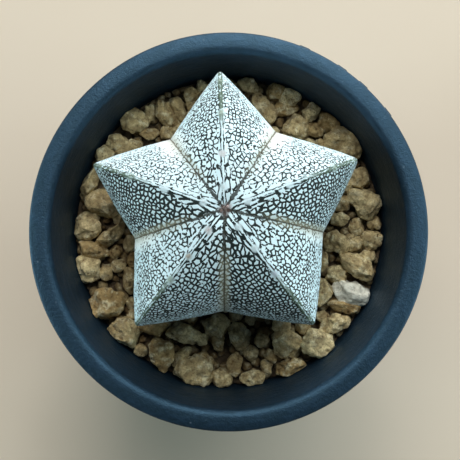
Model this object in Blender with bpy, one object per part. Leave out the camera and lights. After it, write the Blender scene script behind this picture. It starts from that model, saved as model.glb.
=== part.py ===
"""A potted bishop's cap cactus.

A five-ribbed plant stands in a round plastic pot of potting mix, under a top dressing of lumpy grit.
Metres, +Z up. The origin is the centre of the pot's foot. The plant's axis is upright and lies a few
millimetres off the pot's axis. Azimuths are counter-clockwise from +X, seen from above.
"""

import math
import random

import bmesh
import bpy
from mathutils import Matrix, Vector

MM = 0.001
CLEARANCE = 0.3 * MM

# The pot: a tapered wall with a flat rim, whose lip hangs clear of the wall, on a foot ring.
POT_HEIGHT = 90 * MM
POT_SEGMENTS = 60
RIM_RADIUS = 52.5 * MM
RIM_BAND = 4.6 * MM
RIM_THICKNESS = 2.0 * MM
RIM_EDGE = 0.6 * MM
LIP_DEPTH = 9.0 * MM
LIP_THICKNESS = 1.6 * MM
LIP_DRAFT = 0.35 * MM
MOUTH_RADIUS = 46.9 * MM
MOUTH_ROUNDING = 1.3 * MM
WALL = 2.0 * MM
WALL_TAPER = math.radians(9.5)
FOOT_HEIGHT = 4.0 * MM
FOOT_THICKNESS = 2.6 * MM
FLOOR_THICKNESS = 2.2 * MM
CORNER = 2.0 * MM
DRAIN_RADIUS = 3.5 * MM
CENTRE_DRAIN_RADIUS = 4.5 * MM
DRAIN_CIRCLE = 19.0 * MM
DRAIN_COUNT = 6
DRAIN_TURN = 30.0
FOOT_NOTCHES = 3
FOOT_NOTCH_TURN = 90.0
FOOT_NOTCH_SIZE = (8.0 * MM, 6.0 * MM, 2.4 * MM)
CUT_OVER = 1.0 * MM

# Four low moulded pips on the lip's outer side.
PIP_AZIMUTHS = (37.0, 47.5, 55.3, 67.5)
PIP_SIZE = (1.6 * MM, 3.4 * MM, 3.0 * MM)
PIP_EDGE = 0.4 * MM
PIP_PROUD = 0.45 * MM
PIP_MIDDLE = POT_HEIGHT - 4.0 * MM

# What fills the pot: how high the potting mix and the bed of grit reach, and the room that each
# leaves round the plant.
SOIL_TOP = 61.0 * MM
BED_TOP = 68.4 * MM
ROOT_ROOM = 1.0 * MM
GRIT_ROOM = 0.8 * MM
GRIT_PIT_TOP = 82.0 * MM
GRIT_PIT_RISES = (0.0, 1.5 * MM, 4.0 * MM, 7.0 * MM, 11.0 * MM)

# The plant: five ribs round an upright axis, widest a little above the pot's rim.
PLANT_CENTRE = Vector((-0.9 * MM, 5.6 * MM))
EQUATOR = 91.0 * MM
CROWN_RISE = 22.0 * MM
CROWN_POWER = 2.15
COLLAR_HEIGHT = 66.0 * MM
COLLAR_RADIUS = 11.0 * MM
ROOT_END = 46.0 * MM
ROOT_END_RADIUS = 4.0 * MM
NAVEL_DEPTH = 1.0 * MM
NAVEL_RADIUS = 3.0 * MM
FACE_BELLY = 0.3 * MM
CREST_ROUNDING = 0.6 * MM

# Each rib: azimuth, reach at its tip, and how far from the axis its upper areoles sit.
RIBS = (
    (21.0, 36.7 * MM, (6.0, 17.0, 29.3, 35.0)),
    (92.1, 36.0 * MM, (5.5, 13.6, 24.0, 32.7)),
    (160.8, 36.1 * MM, (5.5, 15.5, 24.9, 33.5)),
    (232.2, 37.7 * MM, (6.5, 14.5, 22.0, 35.5)),
    (307.9, 37.4 * MM, (5.5, 12.0, 20.0, 35.0)),
)
# Each groove, after the rib of the same row: azimuth, and reach where the plant is widest.
GROOVES = (
    (57.1, 24.1 * MM),
    (127.6, 23.2 * MM),
    (197.7, 24.4 * MM),
    (269.6, 26.1 * MM),
    (347.4, 26.1 * MM),
)
LOWER_AREOLES = (84.5 * MM, 78.5 * MM)
AREOLE_SIZE = (1.5 * MM, 1.1 * MM, 0.8 * MM)
CROWN_TUFT_SIZE = (2.3 * MM, 2.3 * MM, 1.3 * MM)

# Where the skin's points lie: along each half of a rib, from groove to crest, and up its curve.
PLANT_STEPS = (0.0, 0.3, 0.64, 0.93, 1.0)
PIT_STEPS = (0.0, 0.5, 0.93, 1.0)
CROWN_ANGLES = (90, 82, 74, 66, 58, 50, 42, 34, 26, 19, 12, 6)
LOWER_ANGLES = (90, 68, 50, 36, 23, 11)

# The grit. Each main stone: place x and y, length and width, turn in degrees, and how much lower
# than its neighbours it lies, all in millimetres, clockwise from the far side of the plant.
MAIN_STONES = (
    (5.5, 41.0, 5.5, 4.5, -20, 0),
    (13.5, 40.0, 5.0, 5.5, 0, 0),
    (17.0, 37.5, 5.5, 5.5, 0, 0),
    (16.0, 34.5, 6.5, 4.0, 0, 2),
    (9.5, 34.5, 8.0, 5.5, -50, 0),
    (23.0, 33.5, 4.5, 5.0, 0, 0),
    (27.5, 30.5, 6.5, 5.0, 0, 2),
    (19.0, 29.0, 7.0, 7.0, 0, 0),
    (24.0, 28.5, 4.5, 4.0, 0, 0),
    (32.5, 25.5, 9.5, 8.5, -40, 0),
    (26.0, 24.5, 5.0, 3.5, -20, 2),
    (36.0, 15.0, 5.5, 6.0, -55, 1),
    (38.0, 8.0, 8.0, 8.5, 0, 0),
    (30.5, 3.5, 5.5, 4.0, 0, 1),
    (39.5, -2.5, 6.0, 5.0, 30, 0),
    (30.0, -3.0, 6.5, 6.0, 0, 0),
    (38.5, -6.5, 4.5, 4.0, 0, 1),
    (35.5, -9.5, 10.0, 5.5, -42, 0),
    (26.0, -8.5, 5.5, 3.5, 80, 1),
    (30.0, -12.0, 6.0, 5.0, 0, 1),
    (34.0, -17.0, 9.5, 6.5, -15, 0),
    (26.0, -17.0, 5.0, 7.5, 0, 0),
    (32.5, -20.5, 8.0, 4.0, -15, 2),
    (26.0, -23.5, 4.0, 3.5, 0, 1),
    (30.0, -25.5, 8.0, 5.0, 10, 1),
    (24.5, -31.0, 8.5, 8.0, 0, 0),
    (20.5, -26.5, 4.0, 5.0, 0, 1),
    (14.5, -26.0, 5.0, 5.5, 0, 0),
    (16.0, -31.5, 8.0, 7.0, 0, 0),
    (17.0, -37.5, 8.5, 4.5, 5, 0),
    (9.0, -30.5, 4.0, 3.5, 0, 1),
    (6.0, -34.0, 4.0, 4.0, 0, 1),
    (10.5, -38.0, 3.5, 4.5, 0, 1),
    (6.5, -40.5, 6.5, 4.5, 10, 0),
    (1.5, -37.0, 4.5, 6.5, 0, 0),
    (3.0, -29.0, 6.0, 6.5, 0, 0),
    (-2.0, -40.5, 5.5, 5.0, 0, 0),
    (-3.0, -30.5, 3.5, 6.0, 0, 1),
    (-4.0, -26.0, 7.0, 7.0, 0, 1),
    (-7.5, -36.0, 5.5, 6.0, 0, 2),
    (-10.0, -40.5, 10.0, 8.5, -20, 0),
    (-12.5, -28.5, 8.5, 5.0, -10, 0),
    (-13.0, -35.0, 6.5, 3.5, 50, 1),
    (-19.0, -34.0, 6.0, 9.0, 0, 0),
    (-20.5, -26.5, 8.5, 5.5, 0, 1),
    (-29.5, -28.0, 9.0, 8.0, 0, 0),
    (-34.5, -20.0, 10.5, 8.0, 10, 0),
    (-27.5, -13.0, 4.0, 7.0, 0, 1),
    (-39.0, -10.0, 6.5, 7.0, 0, 0),
    (-38.0, -5.0, 8.0, 4.0, -15, 0),
    (-33.0, -1.0, 9.0, 4.0, 42, 0),
    (-39.5, 1.5, 7.0, 6.5, 0, 0),
    (-35.0, 7.5, 9.0, 7.0, 0, 0),
    (-39.0, 13.5, 8.0, 4.0, 62, 0),
    (-35.0, 21.5, 5.5, 4.0, 30, 0),
    (-31.0, 25.0, 6.0, 4.0, 0, 0),
    (-28.0, 23.5, 7.0, 3.5, 22, 1),
    (-26.5, 31.5, 7.0, 7.0, 0, 0),
    (-22.0, 33.5, 4.0, 4.0, 0, 1),
    (-22.5, 27.5, 5.0, 3.5, 0, 1),
    (-17.5, 33.0, 8.5, 4.5, -58, 0),
    (-14.5, 35.0, 7.0, 4.5, -62, 0),
    (-10.5, 38.5, 4.5, 4.0, 0, 0),
)
SMALL_STONES_SEED = 11
SMALL_STONES_TRIED = 1500
SMALL_STONE_SIZES = (3.6 * MM, 5.6 * MM)
STONE_SPREAD = 1.14
STONE_ROUND_FROM = 7.6 * MM
STONE_TALL = 0.85
STONE_SUNK = 0.30
STONE_LUMPS = (0.86, 1.08)
STONE_TILT = 12.0
STONE_SPACING = 0.42
STONE_FROM_WALL = 0.36


def on_circle(azimuth, radius):
    """The point at an azimuth in degrees and a radius."""
    angle = math.radians(azimuth)
    return Vector((math.cos(angle), math.sin(angle))) * radius


def clear_scene():
    """Removes every object that the file holds."""
    for thing in list(bpy.data.objects):
        bpy.data.objects.remove(thing, do_unlink=True)


def material(name, colour, roughness):
    """A plain finish for one sub-part."""
    finish = bpy.data.materials.new(name)
    finish.use_nodes = True
    shader = finish.node_tree.nodes["Principled BSDF"]
    shader.inputs["Base Color"].default_value = (*colour, 1.0)
    shader.inputs["Roughness"].default_value = roughness
    shader.inputs["Metallic"].default_value = 0.0
    return finish


def thing_from(name, bm, collection=None):
    """An object that holds the bmesh, which is freed."""
    mesh = bpy.data.meshes.new(name)
    bm.to_mesh(mesh)
    bm.free()
    thing = bpy.data.objects.new(name, mesh)
    (collection or bpy.context.scene.collection).objects.link(thing)
    return thing


def finish_object(thing, finish, sharp_angle=35.0):
    """Gives a sub-part its material and its smooth shading."""
    thing.data.materials.clear()
    thing.data.materials.append(finish)
    thing.data.shade_smooth()
    thing.data.set_sharp_from_angle(angle=math.radians(sharp_angle))


def combine(target, pieces, operation):
    """Joins the pieces to the target or cuts them from it, then removes them."""
    group = bpy.data.collections.new("pieces")
    bpy.context.scene.collection.children.link(group)
    for piece in pieces:
        for old in list(piece.users_collection):
            old.objects.unlink(piece)
        group.objects.link(piece)
    step = target.modifiers.new("combine", "BOOLEAN")
    step.operation = operation
    step.solver = "EXACT"
    step.operand_type = "COLLECTION"
    step.collection = group
    graph = bpy.context.evaluated_depsgraph_get()
    mesh = bpy.data.meshes.new_from_object(target.evaluated_get(graph))
    target.modifiers.clear()
    target.data = mesh
    for piece in pieces:
        bpy.data.objects.remove(piece, do_unlink=True)
    bpy.data.collections.remove(group)
    return target


def skin(bm, rings, close_ends=True, joined_up=False):
    """Faces between rings of points, listed upwards, each ring counter-clockwise from above."""
    loops = [[bm.verts.new(point) for point in ring] for ring in rings]
    pairs = list(zip(loops, loops[1:]))
    if joined_up:
        pairs.append((loops[-1], loops[0]))
    for lower, upper in pairs:
        count = len(lower)
        for j in range(count):
            k = (j + 1) % count
            bm.faces.new((lower[j], lower[k], upper[k], upper[j]))
    if close_ends and not joined_up:
        bm.faces.new(list(reversed(loops[0])))
        bm.faces.new(loops[-1])
    return loops


def turned_rings(profile, segments):
    """One ring of points for each radius and height of a profile, which runs up its outer side."""
    step = 360.0 / segments
    return [
        [(*on_circle(j * step, radius), height) for j in range(segments)]
        for radius, height in profile
    ]


def cylinder(name, centre, radius, bottom, top, segments):
    """An upright closed cylinder, used as a cutter."""
    bm = bmesh.new()
    rings = turned_rings([(radius, bottom), (radius, top)], segments)
    skin(bm, rings)
    bmesh.ops.translate(bm, verts=bm.verts, vec=(centre[0], centre[1], 0.0))
    return thing_from(name, bm)


def block(name, size, matrix, bevel=0.0):
    """A box of a given size, its edges cut back by the bevel, placed by a matrix."""
    bm = bmesh.new()
    bmesh.ops.create_cube(bm, size=1.0)
    bmesh.ops.scale(bm, verts=bm.verts, vec=size)
    if bevel:
        bmesh.ops.bevel(bm, geom=list(bm.edges), offset=bevel, segments=1, affect="EDGES")
    bmesh.ops.transform(bm, verts=bm.verts, matrix=matrix)
    return thing_from(name, bm)


def inner_wall(height):
    """The radius of the pot's inner wall at a height."""
    return MOUTH_RADIUS - (POT_HEIGHT - height) * math.tan(WALL_TAPER)


def outer_wall(height):
    """The radius of the pot's outer wall at a height."""
    return inner_wall(height) + WALL / math.cos(WALL_TAPER)


def build_pot():
    """The turned pot, with its drainage holes, its notched foot ring and the pips on its lip."""
    floor_top = FOOT_HEIGHT + FLOOR_THICKNESS
    lip_bottom = POT_HEIGHT - LIP_DEPTH
    under_rim = POT_HEIGHT - RIM_THICKNESS
    mouth = inner_wall(POT_HEIGHT - MOUTH_ROUNDING)
    band_inner = RIM_RADIUS - RIM_BAND
    halfway = math.sin(math.radians(45))
    foot_inner = outer_wall(0.0) - FOOT_THICKNESS
    lip_outer = RIM_RADIUS - LIP_DRAFT
    profile = [
        (foot_inner, 0.0),
        (outer_wall(0.0) - RIM_EDGE, 0.0),
        (outer_wall(RIM_EDGE), RIM_EDGE),
        (outer_wall(under_rim), under_rim),
        (RIM_RADIUS - LIP_THICKNESS, under_rim),
        (lip_outer - LIP_THICKNESS, lip_bottom),
        (lip_outer, lip_bottom),
        (RIM_RADIUS, POT_HEIGHT - RIM_EDGE),
        (RIM_RADIUS - RIM_EDGE, POT_HEIGHT),
        (band_inner, POT_HEIGHT),
        (band_inner + (mouth - band_inner) * halfway, POT_HEIGHT - MOUTH_ROUNDING * (1 - halfway)),
        (mouth, POT_HEIGHT - MOUTH_ROUNDING),
        (inner_wall(floor_top + CORNER), floor_top + CORNER),
        (inner_wall(floor_top) - CORNER, floor_top),
        (CENTRE_DRAIN_RADIUS, floor_top),
        (CENTRE_DRAIN_RADIUS, FOOT_HEIGHT),
        (foot_inner, FOOT_HEIGHT),
    ]
    bm = bmesh.new()
    skin(bm, turned_rings(profile, POT_SEGMENTS), joined_up=True)
    pot = thing_from("pot", bm)

    cutters = []
    for index in range(DRAIN_COUNT):
        centre = on_circle(360.0 * index / DRAIN_COUNT + DRAIN_TURN, DRAIN_CIRCLE)
        cutters.append(cylinder("drain", centre, DRAIN_RADIUS, CUT_OVER, floor_top + CUT_OVER, 12))
    for index in range(FOOT_NOTCHES):
        azimuth = 360.0 * index / FOOT_NOTCHES + FOOT_NOTCH_TURN
        place = on_circle(azimuth, outer_wall(0.0) - FOOT_THICKNESS / 2)
        turn = Matrix.Rotation(math.radians(azimuth), 4, "Z")
        matrix = Matrix.Translation((*place, 0.0)) @ turn
        cutters.append(block("notch", FOOT_NOTCH_SIZE, matrix))
    combine(pot, cutters, "DIFFERENCE")

    pips = []
    for azimuth in PIP_AZIMUTHS:
        place = on_circle(azimuth, RIM_RADIUS + PIP_PROUD - PIP_SIZE[0] / 2)
        turn = Matrix.Rotation(math.radians(azimuth), 4, "Z")
        matrix = Matrix.Translation((*place, PIP_MIDDLE)) @ turn
        pips.append(block("pip", PIP_SIZE, matrix, PIP_EDGE))
    combine(pot, pips, "UNION")
    finish_object(pot, material("pot_plastic", (0.016, 0.022, 0.034), 0.42))
    return pot


def plant_outline(steps):
    """The plant's outline where it is widest, round its axis, as steps along each half of a rib.

    A step of 0 is a groove's bottom and 1 a rib's crest. Every other point lies between them, on a
    side that bulges a little.
    """
    points = []
    for index, (azimuth, reach, _) in enumerate(RIBS):
        before = on_circle(*GROOVES[index - 1])
        after = on_circle(*GROOVES[index])
        corner = on_circle(azimuth, reach + CREST_ROUNDING)
        crest = on_circle(azimuth, reach)
        for groove, order in ((before, steps), (after, tuple(reversed(steps[1:-1])))):
            for step in order:
                side = (corner - groove).orthogonal().normalized()
                if side.dot(corner + groove) < 0:
                    side.negate()
                belly = side * FACE_BELLY * 4 * step * (1 - step)
                point = crest if step == 1 else groove.lerp(corner, step) + belly
                points.append(point)
    return points


def plant_spread(height):
    """How much of its widest outline the plant has at a height, and how much of its round collar."""
    if height >= EQUATOR:
        rise = (height - EQUATOR) / CROWN_RISE
        return max(0.0, 1 - rise**CROWN_POWER) ** (1 / CROWN_POWER), 0.0
    fall = min(1.0, (EQUATOR - height) / (EQUATOR - COLLAR_HEIGHT))
    share = math.sqrt(1 - fall * fall)
    root = max(0.0, (COLLAR_HEIGHT - height) / (COLLAR_HEIGHT - ROOT_END))
    collar = 1 - root * (1 - ROOT_END_RADIUS / COLLAR_RADIUS)
    return share, (1 - share) * collar


def plant_section(outline, height, grow=0.0):
    """The ring of points that the plant has at a height, grown outwards all round if asked."""
    share, collar = plant_spread(height)
    ring = []
    for point in outline:
        outward = point.normalized()
        flat = point * share + outward * (COLLAR_RADIUS * collar + grow)
        dip = NAVEL_DEPTH * math.exp(-((flat.length / NAVEL_RADIUS) ** 2)) if height > EQUATOR else 0.0
        ring.append((*(PLANT_CENTRE + flat), height - dip))
    return ring


def crest_point(azimuth, reach, height):
    """The point on a rib's crest at a height."""
    share, collar = plant_spread(height)
    flat = PLANT_CENTRE + on_circle(azimuth, reach * share + COLLAR_RADIUS * collar)
    return Vector((*flat, height))


def tuft(name, point, outward, along, size):
    """A low woolly cushion, as a flattened ball half sunk into the skin."""
    bm = bmesh.new()
    bmesh.ops.create_icosphere(bm, subdivisions=1, radius=1.0)
    bmesh.ops.scale(bm, verts=bm.verts, vec=size)
    turn = Matrix((along, outward.cross(along), outward)).transposed().to_4x4()
    bmesh.ops.transform(bm, verts=bm.verts, matrix=Matrix.Translation(point) @ turn)
    return thing_from(name, bm)


def areole_heights(reach, places):
    """The heights at which a rib carries its areoles."""
    heights = []
    for place in places:
        share = place * MM / reach
        heights.append(EQUATOR + CROWN_RISE * (1 - share**CROWN_POWER) ** (1 / CROWN_POWER))
    return heights + list(LOWER_AREOLES)


def build_cactus():
    """The plant: crown, ribs, collar and taproot in one skin, with its areoles fused on."""
    outline = plant_outline(PLANT_STEPS)
    rises = [math.cos(math.radians(angle)) ** (2 / CROWN_POWER) for angle in CROWN_ANGLES]
    crown = [EQUATOR + CROWN_RISE * rise for rise in rises]
    falls = [math.sin(math.radians(angle)) for angle in LOWER_ANGLES]
    lower = [EQUATOR - (EQUATOR - COLLAR_HEIGHT) * fall for fall in falls]
    root = [ROOT_END, (ROOT_END + COLLAR_HEIGHT) / 2]
    bm = bmesh.new()
    rings = [plant_section(outline, height) for height in root + lower + crown]
    loops = skin(bm, rings, close_ends=False)
    bm.faces.new(list(reversed(loops[0])))
    top = bm.verts.new((*PLANT_CENTRE, EQUATOR + CROWN_RISE - NAVEL_DEPTH))
    for j in range(len(loops[-1])):
        bm.faces.new((loops[-1][j - 1], loops[-1][j], top))
    cactus = thing_from("cactus", bm)

    tufts = []
    for azimuth, reach, places in RIBS:
        for height in areole_heights(reach, places):
            point = crest_point(azimuth, reach, height)
            along = (crest_point(azimuth, reach, height - CLEARANCE) - point).normalized()
            sideways = Vector((*on_circle(azimuth + 90, 1.0), 0.0))
            tufts.append(tuft("areole", point, along.cross(sideways), along, AREOLE_SIZE))
    navel = Vector((*PLANT_CENTRE, EQUATOR + CROWN_RISE - NAVEL_DEPTH))
    tufts.append(tuft("crown_tuft", navel, Vector((0, 0, 1)), Vector((1, 0, 0)), CROWN_TUFT_SIZE))
    combine(cactus, tufts, "UNION")
    finish_object(cactus, material("cactus_skin", (0.52, 0.58, 0.60), 0.8))
    return cactus


def plant_pit(bottom, top, grow, heights):
    """A closed solid of the plant's lower half, a little larger than it, which cuts its seat."""
    outline = plant_outline(PIT_STEPS)
    levels = [bottom] + [height for height in heights if bottom < height < top] + [top]
    bm = bmesh.new()
    skin(bm, [plant_section(outline, height, grow) for height in levels])
    return thing_from("pit", bm)


def build_soil():
    """The potting mix that fills the pot, with the plain hole that the taproot stands in."""
    bottom = FOOT_HEIGHT + FLOOR_THICKNESS + CLEARANCE
    profile = [
        (inner_wall(bottom) - CORNER - CLEARANCE, bottom),
        (inner_wall(bottom + CORNER) - CLEARANCE, bottom + CORNER),
        (inner_wall(SOIL_TOP) - CLEARANCE, SOIL_TOP),
    ]
    bm = bmesh.new()
    skin(bm, turned_rings(profile, POT_SEGMENTS))
    soil = thing_from("soil", bm)
    pit = plant_pit(ROOT_END - ROOT_ROOM, SOIL_TOP + CUT_OVER, CLEARANCE, (ROOT_END,))
    combine(soil, [pit], "DIFFERENCE")
    finish_object(soil, material("potting_mix", (0.07, 0.045, 0.03), 0.95))
    return soil


def stone(collection, place, long, wide, turn, low, draw):
    """One lumpy grain, part sunk in the bed, flattened where it would press through the pot."""
    detail = 2 if max(long, wide) > STONE_ROUND_FROM else 1
    tall = STONE_TALL * (long + wide) / 2
    middle = BED_TOP + tall * (0.5 - STONE_SUNK) - low * (0.5 - STONE_SUNK)
    bm = bmesh.new()
    bmesh.ops.create_icosphere(bm, subdivisions=detail, radius=0.5)
    for vert in bm.verts:
        vert.co *= draw.uniform(*STONE_LUMPS)
    tilt = Matrix.Rotation(math.radians(draw.uniform(-STONE_TILT, STONE_TILT)), 4, "X")
    roll = Matrix.Rotation(math.radians(draw.uniform(-STONE_TILT, STONE_TILT)), 4, "Y")
    swing = Matrix.Rotation(math.radians(turn), 4, "Z")
    size = Matrix.Diagonal((long * STONE_SPREAD, wide * STONE_SPREAD, tall, 1.0))
    furthest = inner_wall(BED_TOP + tall / 2) - STONE_FROM_WALL * STONE_SPREAD * (long + wide) / 2
    place = place * min(1.0, furthest / place.length)
    matrix = Matrix.Translation((*place, middle)) @ swing @ tilt @ roll @ size
    bmesh.ops.transform(bm, verts=bm.verts, matrix=matrix)
    for vert in bm.verts:
        reach = math.hypot(vert.co.x, vert.co.y)
        limit = inner_wall(vert.co.z) - CLEARANCE
        if reach > limit:
            vert.co.x *= limit / reach
            vert.co.y *= limit / reach
    return thing_from("stone", bm, collection)


def small_stones(taken, draw):
    """Places and sizes of the grains that fill in between the main ones, none crowding another."""
    outline = plant_outline((0.0, 1.0))
    share, collar = plant_spread(BED_TOP)
    found = []
    for _ in range(SMALL_STONES_TRIED):
        size = draw.uniform(*SMALL_STONE_SIZES)
        azimuth = draw.uniform(0.0, 360.0)
        reach = math.sqrt(draw.uniform(0.1, 1.0)) * (inner_wall(BED_TOP) - size / 2)
        turn = draw.uniform(0.0, 180.0)
        place = on_circle(azimuth, reach)
        from_plant = place - PLANT_CENTRE
        nearest = min(outline, key=lambda point: point.angle(from_plant))
        if from_plant.length < nearest.length * share + COLLAR_RADIUS * collar + size / 2:
            continue
        crowded = any((place - other).length < STONE_SPACING * (size + width) for other, width in taken)
        if not crowded:
            taken.append((place, size))
            found.append((place, size, size * 0.85, turn))
    return found


def build_gravel():
    """The top dressing: a thin bed of grit with its grains standing out of it, round the plant."""
    bottom = SOIL_TOP + CLEARANCE
    profile = [(inner_wall(height) - CLEARANCE, height) for height in (bottom, BED_TOP)]
    bm = bmesh.new()
    skin(bm, turned_rings(profile, POT_SEGMENTS))
    gravel = thing_from("gravel", bm)

    draw = random.Random(SMALL_STONES_SEED)
    scratch = bpy.context.scene.collection
    stones = []
    taken = []
    for x, y, long, wide, turn, low in MAIN_STONES:
        place = Vector((x, y)) * MM
        stones.append(stone(scratch, place, long * MM, wide * MM, turn, low * MM, draw))
        taken.append((place, (long + wide) / 2 * MM))
    for place, long, wide, turn in small_stones(taken, draw):
        stones.append(stone(scratch, place, long, wide, turn, 0.0, draw))
    combine(gravel, stones, "UNION")
    levels = [COLLAR_HEIGHT + rise for rise in GRIT_PIT_RISES]
    pit = plant_pit(bottom - CUT_OVER, GRIT_PIT_TOP, GRIT_ROOM, levels)
    combine(gravel, [pit], "DIFFERENCE")
    finish_object(gravel, material("grit", (0.42, 0.33, 0.20), 0.9))
    return gravel


def main():
    """Builds the potted plant."""
    clear_scene()
    build_pot()
    build_soil()
    build_gravel()
    build_cactus()


main()
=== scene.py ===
# %% [markdown]
# # A potted bishop's cap cactus
# A five-ribbed plant, covered in a pale flock of tiny wool tufts, stands in a plastic pot under a top
# dressing of pumice grit. The imported solids give the place and size of every piece. This script loads
# them first, then makes a finer piece for each one but the potting mix, which keeps its solid, and gives
# each its finish.
# Everything is in metres; sizes are written in millimetres and multiplied by MM.

# %% Load the frame
import math
import random

import bmesh
import bpy
import numpy as np
from mathutils import Euler, Matrix, Vector


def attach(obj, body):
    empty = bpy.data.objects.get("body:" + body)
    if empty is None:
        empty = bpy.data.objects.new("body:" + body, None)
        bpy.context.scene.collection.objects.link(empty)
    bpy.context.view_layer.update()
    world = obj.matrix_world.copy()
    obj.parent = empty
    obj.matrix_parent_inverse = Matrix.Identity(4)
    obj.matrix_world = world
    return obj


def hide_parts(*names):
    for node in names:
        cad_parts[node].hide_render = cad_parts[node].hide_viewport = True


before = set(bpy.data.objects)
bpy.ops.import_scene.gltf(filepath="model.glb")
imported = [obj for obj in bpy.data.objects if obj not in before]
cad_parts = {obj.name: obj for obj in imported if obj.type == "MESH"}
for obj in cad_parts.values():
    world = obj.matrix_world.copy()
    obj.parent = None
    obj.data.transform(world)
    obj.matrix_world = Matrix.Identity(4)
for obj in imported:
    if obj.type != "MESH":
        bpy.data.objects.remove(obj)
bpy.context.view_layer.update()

MM = 0.001

# %% [markdown]
# ## Sums of sockets
# A finish or a geometry tree is a web of nodes. Placing each Math node by hand hides the idea
# behind it, so one small class wraps a node's output and lets Python's own signs add the nodes.
# `1 - mask` then reads as it would on paper. All other nodes come from one method, `add`, which
# sets a node's own settings first, because they decide which sockets it has.

# %% A node's output that can stand in a sum
class Amount:
    """A node's output. Sums and products of it add Math nodes to its tree."""

    def __init__(self, nodes, socket):
        self.nodes = nodes
        self.socket = socket

    def calculate(self, operation, *values):
        return self.nodes.add("ShaderNodeMath", {"operation": operation}, values)

    def __add__(self, other):
        return self.calculate("ADD", self, other)

    __radd__ = __add__

    def __sub__(self, other):
        return self.calculate("SUBTRACT", self, other)

    def __rsub__(self, other):
        return self.calculate("SUBTRACT", other, self)

    def __mul__(self, other):
        return self.calculate("MULTIPLY", self, other)

    __rmul__ = __mul__

    def __truediv__(self, other):
        return self.calculate("DIVIDE", self, other)

    def __pow__(self, power):
        return self.calculate("POWER", self, power)

    def __abs__(self):
        return self.calculate("ABSOLUTE", self)

    def at_least(self, lowest):
        return self.calculate("MAXIMUM", self, lowest)

    def at_most(self, highest):
        return self.calculate("MINIMUM", self, highest)

    def fade(self, start, end):
        """0 where the value is at the start, 1 where it is at the end, and smooth between them."""
        ends = (self, start, end, 0.0, 1.0)
        return self.nodes.add("ShaderNodeMapRange", {"interpolation_type": "SMOOTHSTEP"}, ends)

    def output(self, place):
        """Another output of the same node."""
        return Amount(self.nodes, self.socket.node.outputs[place])


# %% A tree of nodes that is being built
class Nodes:
    """A node tree of a material or of Geometry Nodes, with the few ways in which nodes are added."""

    def __init__(self, tree):
        self.tree = tree

    def add(self, kind, settings=None, inputs=(), output=0):
        """Adds a node: its settings first, then its inputs by place or by name."""
        node = self.tree.nodes.new(kind)
        for name, setting in (settings or {}).items():
            setattr(node, name, setting)
        named = inputs.items() if isinstance(inputs, dict) else enumerate(inputs)
        for name, value in named:
            if isinstance(value, Amount):
                self.tree.links.new(value.socket, node.inputs[name])
            elif value is not None:
                node.inputs[name].default_value = value
        return Amount(self, node.outputs[output])

    def mix(self, share, first, second, kind="RGBA"):
        """Goes from the first to the second, which may be bare tints, as the share goes from 0 to 1."""
        first, second = ((*end, 1.0) if isinstance(end, tuple) else end for end in (first, second))
        a, b, result = {"VECTOR": (4, 5, 1), "RGBA": (6, 7, 2)}[kind]
        return self.add("ShaderNodeMix", {"data_type": kind}, {0: share, a: first, b: second}, result)

    def vector(self, x, y, z):
        return self.add("ShaderNodeCombineXYZ", inputs=(x, y, z))

    def parts(self, vector):
        """The three parts of a vector."""
        first = self.add("ShaderNodeSeparateXYZ", inputs=(vector,))
        return first, first.output(1), first.output(2)

    def vectors(self, operation, inputs, output="Vector"):
        """One step of vector maths."""
        return self.add("ShaderNodeVectorMath", {"operation": operation}, inputs, output)

    def scaled(self, vector, by):
        return self.vectors("SCALE", {0: vector, 3: by})

    def shift(self, vector, offset, by=1.0):
        """The vector moved by the offset, which is scaled first."""
        return self.vectors("ADD", (vector, self.scaled(offset, by)))

    def noise(self, vector, scale, detail=2.0, roughness=0.5, output=0):
        return self.add(
            "ShaderNodeTexNoise",
            inputs={"Vector": vector, "Scale": scale, "Detail": detail, "Roughness": roughness},
            output=output,
        )

    def cells(self, vector, scale=1.0, feature="F1", dimensions="3D", scatter=1.0, output="Distance"):
        return self.add(
            "ShaderNodeTexVoronoi",
            {"feature": feature, "voronoi_dimensions": dimensions},
            {"Vector": vector, "Scale": scale, "Randomness": scatter},
            output,
        )


# %% [markdown]
# ## The way a finish is made
# Each finish is one Principled surface. What is the same all over it, such as the sheen of wool,
# is set on the surface's own socket. Colour, roughness and relief change over the surface, so they
# are linked. Relief goes through a Bump node, whose distance is the real height in metres.

# %% A finish and its relief
class Finish(Nodes):
    """A material with one Principled surface."""

    def __init__(self, name, **constants):
        material = bpy.data.materials.new(name)
        material.use_nodes = True
        super().__init__(material.node_tree)
        self.material = material
        self.surface = material.node_tree.nodes["Principled BSDF"]
        for socket, value in constants.items():
            self.surface.inputs[socket.replace("_", " ")].default_value = value
        self.place = self.add("ShaderNodeTexCoord", output="Object")

    def attribute(self, name, output="Vector"):
        return self.add("ShaderNodeAttribute", {"attribute_name": name}, output=output)

    def layered(self, base, *layers):
        """A colour with tints laid over it one after the other, each by its own share."""
        for share, tint in layers:
            base = self.mix(share, base, tint)
        return base

    def show(self, socket, amount):
        self.tree.links.new(amount.socket, self.surface.inputs[socket])

    def relief(self, height, depth, strength=1.0):
        """Relief from a height between 0 and 1, which stands for the depth in metres."""
        given = {"Strength": strength, "Distance": depth, "Height": height}
        self.show("Normal", self.add("ShaderNodeBump", inputs=given, output="Normal"))

    def cover(self, piece):
        """Makes this the one finish of a piece."""
        piece.data.materials.clear()
        piece.data.materials.append(self.material)


# %% [markdown]
# ## The way a geometry tree is made and applied
# A geometry tree gets named inputs for its sizes. A modifier knows them by identifiers, so
# `grow` looks those up. The tree ends in Realize Instances and Set Material, and the result is
# turned into a plain mesh before the piece is used, so no modifier is left on it.

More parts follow.
